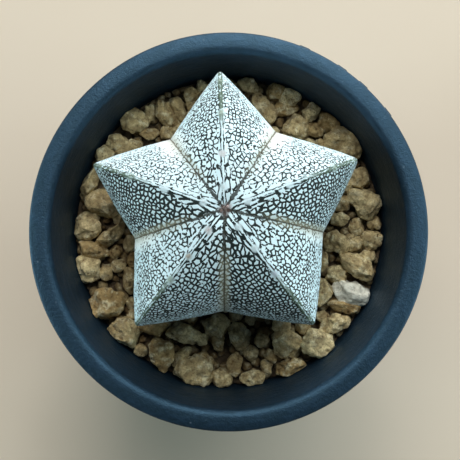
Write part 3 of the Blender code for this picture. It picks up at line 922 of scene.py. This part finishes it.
# %% Flock: how wide the lines of the net are, side by side and place by place
THINNEST = 0.064
WIDEST = 0.279
LINE_SOFTNESS = 0.04
break_up = flock.noise(flat_place, 1.15, 2.0, 0.6)
thickness = flock.noise(flat_place, 0.35, 1.0)
# How lit a side is taken to be, from how thin its net is; it sets the painted light and painted shade along
# the grooves.
brightness = cover.fade(0.75, 0.40)
# The wool is paler and closer along the outer groove, on the crest and where the plant turns down. Along
# the groove this paleness is partly painted light, strongest on the lit sides.
pale_and_lit_groove = 1 - from_groove.fade(0.8, 3.0 + brightness * 3.0)
pale_and_lit_groove = pale_and_lit_groove * from_apex.fade(15.0, 27.0) * (0.45 + brightness * 0.55)
pale_and_lit_groove = pale_and_lit_groove * (1 - down.fade(38.0, 48.0) * 0.7)
pale_crest = 1 - from_crest.fade(0.10, 0.34)
pale_edge = down.fade(24.0, 30.0) * (1 - down.fade(33.0, 39.0))
# Half the width of a line, and how easily a line breaks off.
looseness = (1 - cover) * 0.27 + pale_and_lit_groove * 0.15 + pale_edge * 0.09
width = THINNEST + cover * (WIDEST - THINNEST) + (thickness - 0.5) * 0.07
width = width - break_up.fade(0.68 - looseness, 0.74 - looseness) * 0.22
width = width - pale_and_lit_groove * 0.04 - pale_crest * 0.20 - pale_edge * 0.015
net = 1 - gap.fade(width - LINE_SOFTNESS, width + LINE_SOFTNESS)

# %% Flock: the line and the bars beside each crest, and bare net round the areoles
crest_line = 1 - abs(from_crest + ragged * 0.6 - 0.85).fade(0.08, 0.17)
crest_line = crest_line * break_up.fade(0.42, 0.52) * from_apex.fade(3.0, 7.0)
bar = 1 - abs(from_crest + ragged * 0.5 - 1.0).fade(0.16, 0.28)
bar = bar * thickness.fade(0.49, 0.56) * from_apex.fade(2.0, 3.0)
bar = bar * (1 - from_apex.fade(10.0, 13.0))
net = net.at_least(crest_line).at_least(bar)
near_areole = flock.attribute("areole_gap", "Fac")
areole_tint = flock.attribute("areole_tint", "Color")
patch = 1 - (near_areole + ragged * 1.1).fade(1.15, 1.9)
net = net * (1 - patch * 0.85)

# %% Flock: colours of wool and bare skin
tone = flock.noise(flat_place, 0.5, 3.0)
fibre = flock.noise(flat_place, 7.0, 3.0, 0.7)
wool = flock.layered(
    (0.62, 0.80, 0.87),
    (tone, (0.77, 0.93, 0.99)),
    (pale_and_lit_groove, (0.85, 0.86, 0.84)),
    (fibre * 0.22, (0.40, 0.46, 0.47)),
    (patch * 0.45, areole_tint),
)
bare_skin = flock.mix(tone, (0.003, 0.008, 0.009), (0.012, 0.022, 0.020))

# %% Flock: painted shade and dark lines in the grooves, green crests, red apex and corky foot, one over the other
# Painted shade: beige-grey in the hollow beside each groove, heavier on the sides that lie in shade.
groove_shade = (1 - from_groove.fade(0.2, 2.2)) * from_apex.fade(6.0, 14.0)
groove_shade = groove_shade * (0.66 - brightness * 0.32)
inner_groove = (1 - from_apex.fade(7.0, 14.0)) * break_up.fade(0.35, 0.65) * 0.36
groove_line = 1 - (from_groove + ragged * 0.50 - inner_groove).fade(0.32, 0.56)
olive = flock.mix(from_apex.fade(13.0, 24.0), (0.016, 0.017, 0.010), (0.090, 0.070, 0.042))
green_crest = (1 - (from_crest + ragged * 1.6).fade(1.2, 2.0)) * from_apex.fade(16.0, 28.0)
green_crest = green_crest * flock.noise(flat_place, 0.8, 2.0).fade(0.38, 0.52)
red_centre = 1 - (from_apex + ragged * 1.6).fade(1.2, 2.8)
cork = down.fade(64.0, 71.0)
body_colour = flock.layered(
    flock.mix(net, wool, bare_skin),
    (groove_shade, (0.31, 0.30, 0.21)),
    (groove_line * 0.9, olive),
    (green_crest * 0.90, (0.065, 0.105, 0.060)),
    (red_centre * 0.8, (0.09, 0.045, 0.035)),
    (cork * (0.35 + ragged * 0.6), (0.20, 0.14, 0.09)),
)
flock.show("Base Color", body_colour)
flock.show("Roughness", 0.62 + (1 - net) * 0.3)
flock.relief((1 - net) * 0.75 + fibre * 0.25, 0.11 * MM, 0.75)

# %% Sweep the plant
sweep.finish(body, flock.material)
plant = grow(
    "plant_body", sweep, lantern=skeleton, star=star, rise=rise, areoles=areole_points,
    collar_radius=COLLAR_RADIUS, navel_depth=1.0 * MM, navel_radius=3.0 * MM, unevenness=0.5 * MM,
)
check = bmesh.new()
check.from_mesh(plant.data)
print(f"plant: volume {check.calc_volume(signed=True) * 1e6:.1f} cm3,",
      f"{sum(1 for edge in check.edges if len(edge.link_faces) != 2)} open edges")
check.free()

# %% [markdown]
# ## Areole wool
# An areole is a small felt cushion on a rib's crest, from which spines or flowers would grow. This
# species has no spines. New cushions near the crown are pale or pink, and older ones down the rib
# turn grey-green and wear off. A tree puts a flattened ball at each place of the list, roughens it,
# and lets short hairs stand on it. Each hair is a cone of three sides, which is enough at 0.4 mm.

# %% Areole tree: cushions and hairs
wool_tree = Shape("areole_wool", points="piece", hairs_a_square_metre="number", hair_length="number",
                  hair_radius="number")
given = wool_tree.given
ball = wool_tree.add("GeometryNodeMeshIcoSphere", inputs={"Radius": 1.0, "Subdivisions": 3})
matted = wool_tree.noise(wool_tree.spot, 1900.0, 2.0)
cushion = wool_tree.swell(wool_tree.strewn(given["points"], ball), (matted - 0.5) * 0.35 * MM)
roots = wool_tree.add(
    "GeometryNodeDistributePointsOnFaces",
    {"distribute_method": "RANDOM"},
    {"Mesh": cushion, "Density": given["hairs_a_square_metre"], "Seed": 4},
)
lean = wool_tree.add(
    "FunctionNodeRandomValue", {"data_type": "FLOAT_VECTOR"},
    {0: (-0.9, -0.9, 0.0), 1: (0.9, 0.9, 6.28), 8: 7},
)
swung = wool_tree.add(
    "FunctionNodeRotateRotation", {"rotation_space": "LOCAL"},
    {"Rotation": roots.output("Rotation"), "Rotate By": lean},
)
hair = wool_tree.add(
    "GeometryNodeMeshCone",
    inputs={"Vertices": 3, "Side Segments": 1, "Fill Segments": 1, "Radius Top": 0.0,
            "Radius Bottom": given["hair_radius"], "Depth": given["hair_length"]},
)
hairs = wool_tree.add(
    "GeometryNodeInstanceOnPoints", inputs={"Points": roots, "Instance": hair, "Rotation": swung}
)
wool_pieces = wool_tree.add("GeometryNodeJoinGeometry")
for part in (cushion, hairs):
    wool_tree.tree.links.new(part.socket, wool_pieces.socket.node.inputs[0])

# %% Areole finish and piece
wool_finish = Finish("areole_wool", Roughness=0.92, Sheen_Weight=0.25)
speck = wool_finish.noise(wool_finish.place, 2400.0, 2.0)
tint = wool_finish.attribute("wool_tint", "Color")
wool_finish.show("Base Color", wool_finish.mix(speck * 0.30, tint, (0.50, 0.51, 0.48)))
wool_finish.relief(speck, 0.06 * MM)
wool_tree.finish(wool_pieces, wool_finish.material)
areoles = grow("areoles", wool_tree, points=areole_points, hairs_a_square_metre=1.6e7,
               hair_length=0.42 * MM, hair_radius=0.03 * MM)

# %% [markdown]
# ## Grit
# The top dressing is pumice: tan, light, blunt-edged and pitted, in grains of 2 to 10 mm. The
# larger grains lie where the solids have them. Each is a ball, stretched and turned by its own row
# of the list. A tree cuts it with eleven planes, whose edges a smooth minimum rounds off as tumbling
# does, then adds knobs and pits. The planes come from the grain's own chance number and the knobs
# from its place in the pot, so no two grains are alike, although all come from one ball.

# %% The larger grains, from the same list as the solids
# Place x and y, length and width, turn in degrees, and how much lower a grain lies, in millimetres.
MAIN_STONES = (
    (5.5, 41.0, 5.5, 4.5, -20, 0), (13.5, 40.0, 5.0, 5.5, 0, 0), (17.0, 37.5, 5.5, 5.5, 0, 0),
    (16.0, 34.5, 6.5, 4.0, 0, 2), (9.5, 34.5, 8.0, 5.5, -50, 0), (23.0, 33.5, 4.5, 5.0, 0, 0),
    (27.5, 30.5, 6.5, 5.0, 0, 2), (19.0, 29.0, 7.0, 7.0, 0, 0), (24.0, 28.5, 4.5, 4.0, 0, 0),
    (32.5, 25.5, 9.5, 8.5, -40, 0), (26.0, 24.5, 5.0, 3.5, -20, 2), (36.0, 15.0, 5.5, 6.0, -55, 1),
    (38.0, 8.0, 8.0, 8.5, 0, 0), (30.5, 3.5, 5.5, 4.0, 0, 1), (39.5, -2.5, 6.0, 5.0, 30, 0),
    (30.0, -3.0, 6.5, 6.0, 0, 0), (38.5, -6.5, 4.5, 4.0, 0, 1), (35.5, -9.5, 10.0, 5.5, -42, 0),
    (26.0, -8.5, 5.5, 3.5, 80, 1), (30.0, -12.0, 6.0, 5.0, 0, 1), (34.0, -17.0, 9.5, 6.5, -15, 0),
    (26.0, -17.0, 5.0, 7.5, 0, 0), (32.5, -20.5, 8.0, 4.0, -15, 2), (26.0, -23.5, 4.0, 3.5, 0, 1),
    (30.0, -25.5, 8.0, 5.0, 10, 1), (24.5, -31.0, 8.5, 8.0, 0, 0), (20.5, -26.5, 4.0, 5.0, 0, 1),
    (14.5, -26.0, 5.0, 5.5, 0, 0), (16.0, -31.5, 8.0, 7.0, 0, 0), (17.0, -37.5, 8.5, 4.5, 5, 0),
    (9.0, -30.5, 4.0, 3.5, 0, 1), (6.0, -34.0, 4.0, 4.0, 0, 1), (10.5, -38.0, 3.5, 4.5, 0, 1),
    (6.5, -40.5, 6.5, 4.5, 10, 0), (1.5, -37.0, 4.5, 6.5, 0, 0), (3.0, -29.0, 6.0, 6.5, 0, 0),
    (-2.0, -40.5, 5.5, 5.0, 0, 0), (-3.0, -30.5, 3.5, 6.0, 0, 1), (-4.0, -26.0, 7.0, 7.0, 0, 1),
    (-7.5, -36.0, 5.5, 6.0, 0, 2), (-10.0, -40.5, 10.0, 8.5, -20, 0), (-12.5, -28.5, 8.5, 5.0, -10, 0),
    (-13.0, -35.0, 6.5, 3.5, 50, 1), (-19.0, -34.0, 6.0, 9.0, 0, 0), (-20.5, -26.5, 8.5, 5.5, 0, 1),
    (-29.5, -28.0, 9.0, 8.0, 0, 0), (-34.5, -20.0, 10.5, 8.0, 10, 0), (-27.5, -13.0, 4.0, 7.0, 0, 1),
    (-39.0, -10.0, 6.5, 7.0, 0, 0), (-38.0, -5.0, 8.0, 4.0, -15, 0), (-33.0, -1.0, 9.0, 4.0, 42, 0),
    (-39.5, 1.5, 7.0, 6.5, 0, 0), (-35.0, 7.5, 9.0, 7.0, 0, 0), (-39.0, 13.5, 8.0, 4.0, 62, 0),
    (-35.0, 21.5, 5.5, 4.0, 30, 0), (-31.0, 25.0, 6.0, 4.0, 0, 0), (-28.0, 23.5, 7.0, 3.5, 22, 1),
    (-26.5, 31.5, 7.0, 7.0, 0, 0), (-22.0, 33.5, 4.0, 4.0, 0, 1), (-22.5, 27.5, 5.0, 3.5, 0, 1),
    (-17.5, 33.0, 8.5, 4.5, -58, 0), (-14.5, 35.0, 7.0, 4.5, -62, 0), (-10.5, 38.5, 4.5, 4.0, 0, 0),
)
BED_TOP = 68.4 * MM
STONE_SPREAD = 1.14
STONE_TALL = 0.85
STONE_SUNK = 0.30
LARGE_STONE = 7.6
LARGE_GRAIN = 6.4 * MM
FILL_SUNK = 1.1 * MM
PALE_STONE = (34.0, -17.0)
# Grains whose tint is partly painted: darker as shade where they lie low, lighter as light where it falls
# on them.
BROWN_AND_SHADED_STONES = ((16.0, 34.5), (27.5, 30.5), (32.5, -20.5), (-20.5, -26.5), (-7.5, -36.0), (-34.5, -20.0))
LIGHT_AND_LIT_STONES = ((38.0, 8.0), (-39.0, -10.0), (-39.5, 1.5), (24.5, -31.0))

# %% [markdown]
# The small grains between them are thrown like darts, each kept only where it isn't in the way of
# one that lies there already. The same seed and the same order of throws as in the solids put
# them in the same places. A last set, smaller and lower, fills the gaps that are left.

# %% Throw the small grains
def plant_side(direction, height, rib_extra=0.0):
    """How far the plant reaches from its own axis at a height, towards the nearest rib or groove."""
    corners = [on_circle(*groove) for groove in GROOVES]
    corners += [on_circle(azimuth, reach + rib_extra) for azimuth, reach, _ in RIBS]
    nearest = min(corners, key=lambda corner: corner.angle(direction))
    share, collar = spread(height)
    return nearest.length * MM * share + COLLAR_RADIUS * collar


def throw(draw, tries, sizes, spacing, taken, room=0.5):
    """Places and sizes of grains that fit between those taken."""
    found = []
    for _ in range(tries):
        size = draw.uniform(*sizes) * MM
        azimuth = draw.uniform(0.0, 360.0)
        reach = math.sqrt(draw.uniform(0.1, 1.0)) * (inner_wall(BED_TOP) - size / 2)
        turn = draw.uniform(0.0, 180.0)
        place = on_circle(azimuth, reach)
        from_plant = place - PLANT_CENTRE
        if from_plant.length < plant_side(from_plant, BED_TOP) + size * room:
            continue
        if all((place - other).length >= spacing * (size + width) for other, width in taken):
            taken.append((place, size))
            found.append((place, size, size * 0.85, turn))
    return found


# %% Throw them in the solids' order
draw = random.Random(11)
taken = []
grains = []
for x, y, long, wide, turn, low in MAIN_STONES:
    # The solids draw this many numbers for the corners of each larger grain first.
    for _ in range(44 if max(long, wide) > LARGE_STONE else 14):
        draw.random()
    place = Vector((x, y)) * MM
    taken.append((place, (long + wide) / 2 * MM))
    grains.append((place, long * MM, wide * MM, turn, low * MM))
small = throw(draw, 1500, (3.6, 5.6), 0.42, taken)
grains += [(*grain, 0.0) for grain in small]
# The fine grains may lie closer to the others, so those count as smaller.
smaller = [(place, size * 0.72) for place, size in taken]
fill = throw(random.Random(23), 9000, (2.2, 3.6), 0.40, smaller, room=0.2)
print(f"{len(MAIN_STONES)} larger grains, {len(small)} small ones, {len(fill)} in the gaps")

# %% Give each grain its height, turn and tint
tint_draw = random.Random(5)


def grain_row(place, long, wide, turn, low, sunk=0.0):
    """One row for the tree: middle, turn, size and tint of a grain."""
    tall = STONE_TALL * (long + wide) / 2
    middle = BED_TOP + tall * (0.5 - STONE_SUNK) - low * (0.5 - STONE_SUNK) - sunk
    furthest = inner_wall(BED_TOP + tall / 2) - 0.36 * STONE_SPREAD * (long + wide) / 2
    at = place * min(1.0, furthest / place.length)
    lean = [math.radians(tint_draw.uniform(-12, 12)) for _ in range(2)]
    # A random tint, darker on grains that lie sunk between the others: painted shade.
    tint = min(0.95, max(0.05, tint_draw.gauss(0.52, 0.17))) - sunk / MM * 0.3
    near = (round(place.x / MM, 1), round(place.y / MM, 1))
    # The listed dark grains are partly brown and partly painted shade, as they lie low; the listed light
    # grains are partly light tan and partly painted light, where the light falls on them.
    if near in BROWN_AND_SHADED_STONES:
        tint = 0.12
    elif near in LIGHT_AND_LIT_STONES:
        tint = 1.15
    pale = 1.0 if near == PALE_STONE else 0.0
    size = (long * STONE_SPREAD, wide * STONE_SPREAD, tall)
    return (*at, middle), (*lean, math.radians(turn)), size, (tint, pale, tint_draw.random())


def grain_points(name, rows):
    places, turns, sizes, looks = zip(*rows)
    return points_piece(name, places, turn=turns, size=sizes, grain_look=looks, middle=places)


large_rows, mid_rows = [], []
for row in [grain_row(*grain) for grain in grains]:
    (large_rows if max(row[2][:2]) > LARGE_GRAIN else mid_rows).append(row)
fill_rows = [grain_row(*grain, 0.0, FILL_SUNK) for grain in fill]
half = len(large_rows) // 2
# Each set of grains: name, rows, and how finely its ball is divided.
grain_sets = (
    ("grit_large_1", large_rows[:half], 5),
    ("grit_large_2", large_rows[half:], 5),
    ("grit_mid", mid_rows, 4),
    ("grit_fill", fill_rows, 2),
)
print([(name, len(rows)) for name, rows, _ in grain_sets])

# %% The tree that makes the grains: balls cut by planes
CUTS_A_GRAIN = 11
GOLDEN_TURN = 137.5
grit_tree = Shape("pumice_grains", points="piece", plant="piece", detail="whole", lump="number",
                  pit="number", clearance="number")
given = grit_tree.given
spot = grit_tree.spot
ball = grit_tree.add("GeometryNodeMeshIcoSphere", inputs={"Radius": 0.54, "Subdivisions": given["detail"]})
ball = grit_tree.keep(ball, "way_out", grit_tree.add("GeometryNodeInputNormal"), "FLOAT_VECTOR")
grit = grit_tree.strewn(given["points"], ball)
way_out = grit_tree.named("way_out", "FLOAT_VECTOR")
luck = grit_tree.parts(grit_tree.named("grain_look", "FLOAT_VECTOR"))[2]
cut_back = 1.0
for side in range(CUTS_A_GRAIN):
    up = 1 - (2 * side + 1) / CUTS_A_GRAIN
    even = (*on_circle(GOLDEN_TURN * side, math.sqrt(1 - up * up)), up)
    chance = grit_tree.add(
        "ShaderNodeTexWhiteNoise", {"noise_dimensions": "1D"}, {"W": luck * 91.0 + side * 3.7}
    )
    aside = grit_tree.shift(chance.output("Color"), (-0.5, -0.5, -0.5))
    normal = grit_tree.vectors("NORMALIZE", (grit_tree.shift(even, aside, 1.1),))
    towards = grit_tree.vectors("DOT_PRODUCT", (way_out, normal), "Value")
    flat_cut = (chance * 0.34 + 0.64) / towards.at_least(0.25)
    cut_back = grit_tree.add("ShaderNodeMath", {"operation": "SMOOTH_MIN"}, (cut_back, flat_cut, 0.09))
middle = grit_tree.named("middle", "FLOAT_VECTOR")
grit = grit_tree.move(grit, position=grit_tree.mix(cut_back, middle, spot, "VECTOR"))

# %% Uneven faces and pits
size = grit_tree.parts(grit_tree.named("size", "FLOAT_VECTOR"))[2]
grit = grit_tree.swell(grit, (grit_tree.noise(spot, 190.0, 2.0) - 0.5) * size * given["lump"])
jolt = grit_tree.noise(spot, 700.0, 2.0, output="Color")
knobs = grit_tree.cells(grit_tree.shift(spot, jolt, 0.8 * MM), 560.0)
pits = 1 - grit_tree.cells(spot, 620.0).fade(0.12, 0.36)
pits = pits * grit_tree.noise(spot, 300.0, 1.0).fade(0.48, 0.60)
crumbs = grit_tree.noise(spot, 1300.0, 3.0, 0.65) - 0.5
creases = knobs.fade(0.42, 0.72)
# Pits and the creases between knobs, which the finish paints dark as shade.
grit = grit_tree.keep(grit, "pitted", (pits + creases * 0.6).at_most(1.0))
grit = grit_tree.swell(grit, (0.35 - knobs + crumbs * 1.1 - pits * 0.8) * given["pit"])

# %% Keep the grains clear of the pot and the plant
x, y, z = grit_tree.parts(spot)
reach = (x * x + y * y) ** 0.5
squeeze = ((inner_wall(z) - CLEARANCE) / reach).at_most(1.0)
grit = grit_tree.move(grit, position=grit_tree.vector(x * squeeze, y * squeeze, z))
plant_skin = grit_tree.geometry_of(given["plant"])
nearby = grit_tree.add("GeometryNodeProximity", {"target_element": "FACES"},
                       {0: plant_skin, "Sample Position": spot}, "Position")
plant_out = grit_tree.add(
    "GeometryNodeSampleNearestSurface", {"data_type": "FLOAT_VECTOR"},
    {"Mesh": plant_skin, "Value": grit_tree.add("GeometryNodeInputNormal"), "Sample Position": spot},
)
away = grit_tree.vectors("SUBTRACT", (spot, nearby))
clear = grit_tree.vectors("DOT_PRODUCT", (away, plant_out), "Value")
push = (given["clearance"] - clear).at_least(0.0).at_most(3 * MM)
grit = grit_tree.move(grit, offset=grit_tree.scaled(plant_out, push))

# %% [markdown]
# Pumice is coloured by iron: most grains are tan, some browner, one nearly white. The colour goes from
# grain to grain by the tint that each carries, and within a grain by mottling, with cream patches painted
# on as highlights. The tint is partly painted shade and painted light too: darker on grains that lie low,
# lighter on a few that stand in the light. Pits and creases are painted dark brown as shade, and so is the
# lower part of every grain, deep between its neighbours.

# %% Grit finish
pumice = Finish("pumice")
tint, pale, _ = pumice.parts(pumice.attribute("grain_look"))
pitted = pumice.attribute("pitted", "Fac")
moved = pumice.shift(pumice.place, pumice.attribute("grain_look"), 0.02)
mottled = pumice.noise(moved, 420.0, 4.0, 0.62)
fine = pumice.noise(moved, 1900.0, 3.0, 0.7)
pores = 1 - pumice.cells(moved, 1500.0).fade(0.10, 0.34)
holes = (pitted * 0.85 + pores * 0.25).at_most(1.0)
height = pumice.parts(pumice.place)[2]
shade_below = 1 - (height + mottled * 1.2 * MM).fade(BED_TOP - 0.6 * MM, BED_TOP + 3.2 * MM)
lightness = tint * 0.7 + mottled * 0.6 - 0.15
# Tan, light tan, cream patches as painted highlights, the whitish grain, pits and creases in painted shade,
# specks of iron, and painted shade below.
stone = pumice.layered(
    (0.50, 0.345, 0.145),
    (lightness.fade(0.15, 0.75), (0.88, 0.73, 0.40)),
    (mottled.fade(0.50, 0.64) * 0.75, (0.97, 0.88, 0.58)),
    (pale * 0.90, (0.97, 0.96, 0.84)),
    (holes * (0.85 - pale * 0.5), (0.15, 0.080, 0.026)),
    (fine.fade(0.44, 0.60) * (0.34 - pale * 0.22), (0.27, 0.165, 0.06)),
    (shade_below * 0.85, (0.070, 0.038, 0.014)),
)
pumice.show("Base Color", stone)
pumice.show("Roughness", 0.86 + fine * 0.12)
pumice.relief(fine * 0.5 + mottled * 0.5 - pores * 0.6, 0.55 * MM)

# %% Make the grains
grit_tree.finish(grit, pumice.material)
grit_pieces = []
for name, rows, detail in grain_sets:
    cloud = grain_points(name + "_points", rows)
    grit_pieces.append(grow(name, grit_tree, points=cloud, plant=plant, detail=detail, lump=0.50,
                            pit=0.50 * MM, clearance=0.5 * MM))
    bpy.data.objects.remove(cloud)

# %% [markdown]
# ## The bed under the grains
# Between the grains the eye falls on finer grit and shade. A thin bed lies there, a ring from the
# plant's collar to the wall, with a crumbly top. It is a closed plate, so that it also holds from
# below. Rings of places make it, as they make the pot, and two crossing waves raise its top.

# %% Edges and height of the bed
BED_BOTTOM = 61.6 * MM
BED_HEIGHT = 66.9 * MM
BED_AROUND = 300
BED_OUTWARDS = 50


def beside_plant(azimuth):
    """A place on the bed's inner edge, just clear of the plant's lower side."""
    direction = on_circle(azimuth, 1.0)
    reach = plant_side(direction, 67.5 * MM, CREST_ROUNDING / MM) + 0.8 * MM
    return PLANT_CENTRE + direction * reach


def beside_wall(azimuth, height):
    """A place on the bed's outer edge, just clear of the pot."""
    return on_circle(azimuth, inner_wall(height) - CLEARANCE)


def crumbly(place):
    """Height of the bed's top at a place, from two waves that bend each other."""
    x, y = place / MM
    return BED_HEIGHT + 0.9 * MM * math.sin(x * 1.9 + 2 * math.sin(y * 0.9)) * math.sin(y * 2.1)


# %% Bed
around = [360 * j / BED_AROUND for j in range(BED_AROUND)]
rings = []
for step in range(BED_OUTWARDS + 1):
    share_out = step / BED_OUTWARDS
    places = [beside_plant(azimuth).lerp(beside_wall(azimuth, 67 * MM), share_out) for azimuth in around]
    rings.append([(*place, crumbly(place)) for place in places])
rings.append([(*beside_wall(azimuth, BED_BOTTOM), BED_BOTTOM) for azimuth in around])
rings.append([(*beside_plant(azimuth), BED_BOTTOM) for azimuth in around])
bed = ringed("grit_bed", rings)
bed.data.shade_smooth()
print(f"bed: {triangles(bed.data)} triangles")

# %% Finish of the bed
dirt = Finish("grit_dust", Roughness=0.95)
clod = dirt.noise(dirt.place, 700.0, 4.0, 0.65)
crumb = dirt.cells(dirt.place, 900.0)
dirt.show("Base Color", dirt.mix(clod, (0.05, 0.032, 0.018), (0.20, 0.14, 0.08)))
dirt.relief(clod * 0.6 - crumb * 0.4, 0.5 * MM)
dirt.cover(bed)

# %% [markdown]
# ## Potting mix
# The mix fills the pot below the grit, and shows only through the drainage holes. The solid's own
# shape is right for it, so the solid stays and gets a finish of dark crumbs, bark and light grains.

# %% Potting mix finish
potting = Finish("potting_mix")
crumb = potting.cells(potting.place, 420.0, output="Color")
crumb_tone, _, rare = potting.parts(crumb)
clod = potting.noise(potting.place, 260.0, 4.0, 0.6)
earth = potting.layered(
    (0.022, 0.014, 0.009),
    (clod, (0.085, 0.055, 0.034)),
    (crumb_tone.fade(0.6, 0.8) * 0.6, (0.12, 0.075, 0.045)),
    (rare.fade(0.93, 0.96), (0.46, 0.43, 0.37)),
)
potting.show("Base Color", earth)
potting.show("Roughness", 0.88 + clod * 0.1)
potting.relief(clod * 0.6 + crumb_tone * 0.4, 0.6 * MM)
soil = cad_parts["soil"]
potting.cover(soil)

# %% [markdown]
# ## Put the pieces in the frame
# Every piece rides on the one body and stands for its solid, which is hidden. The helper points are
# removed, and the triangles of all the pieces are counted.

# %% Ride, replace and finish
for helper in (skeleton, star, rise, areole_points):
    bpy.data.objects.remove(helper)
for pieces, node, slot in (
    ([pot], "pot", "pot_plastic"),
    ([plant, areoles], "cactus", "cactus_skin"),
    ([*grit_pieces, bed], "gravel", "grit"),
):
    for piece in pieces:
        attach(piece, "root")
        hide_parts(node)
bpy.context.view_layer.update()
total = sum(triangles(piece.data) for piece in (pot, plant, areoles, bed, soil, *grit_pieces))
print(f"{total} triangles in all")
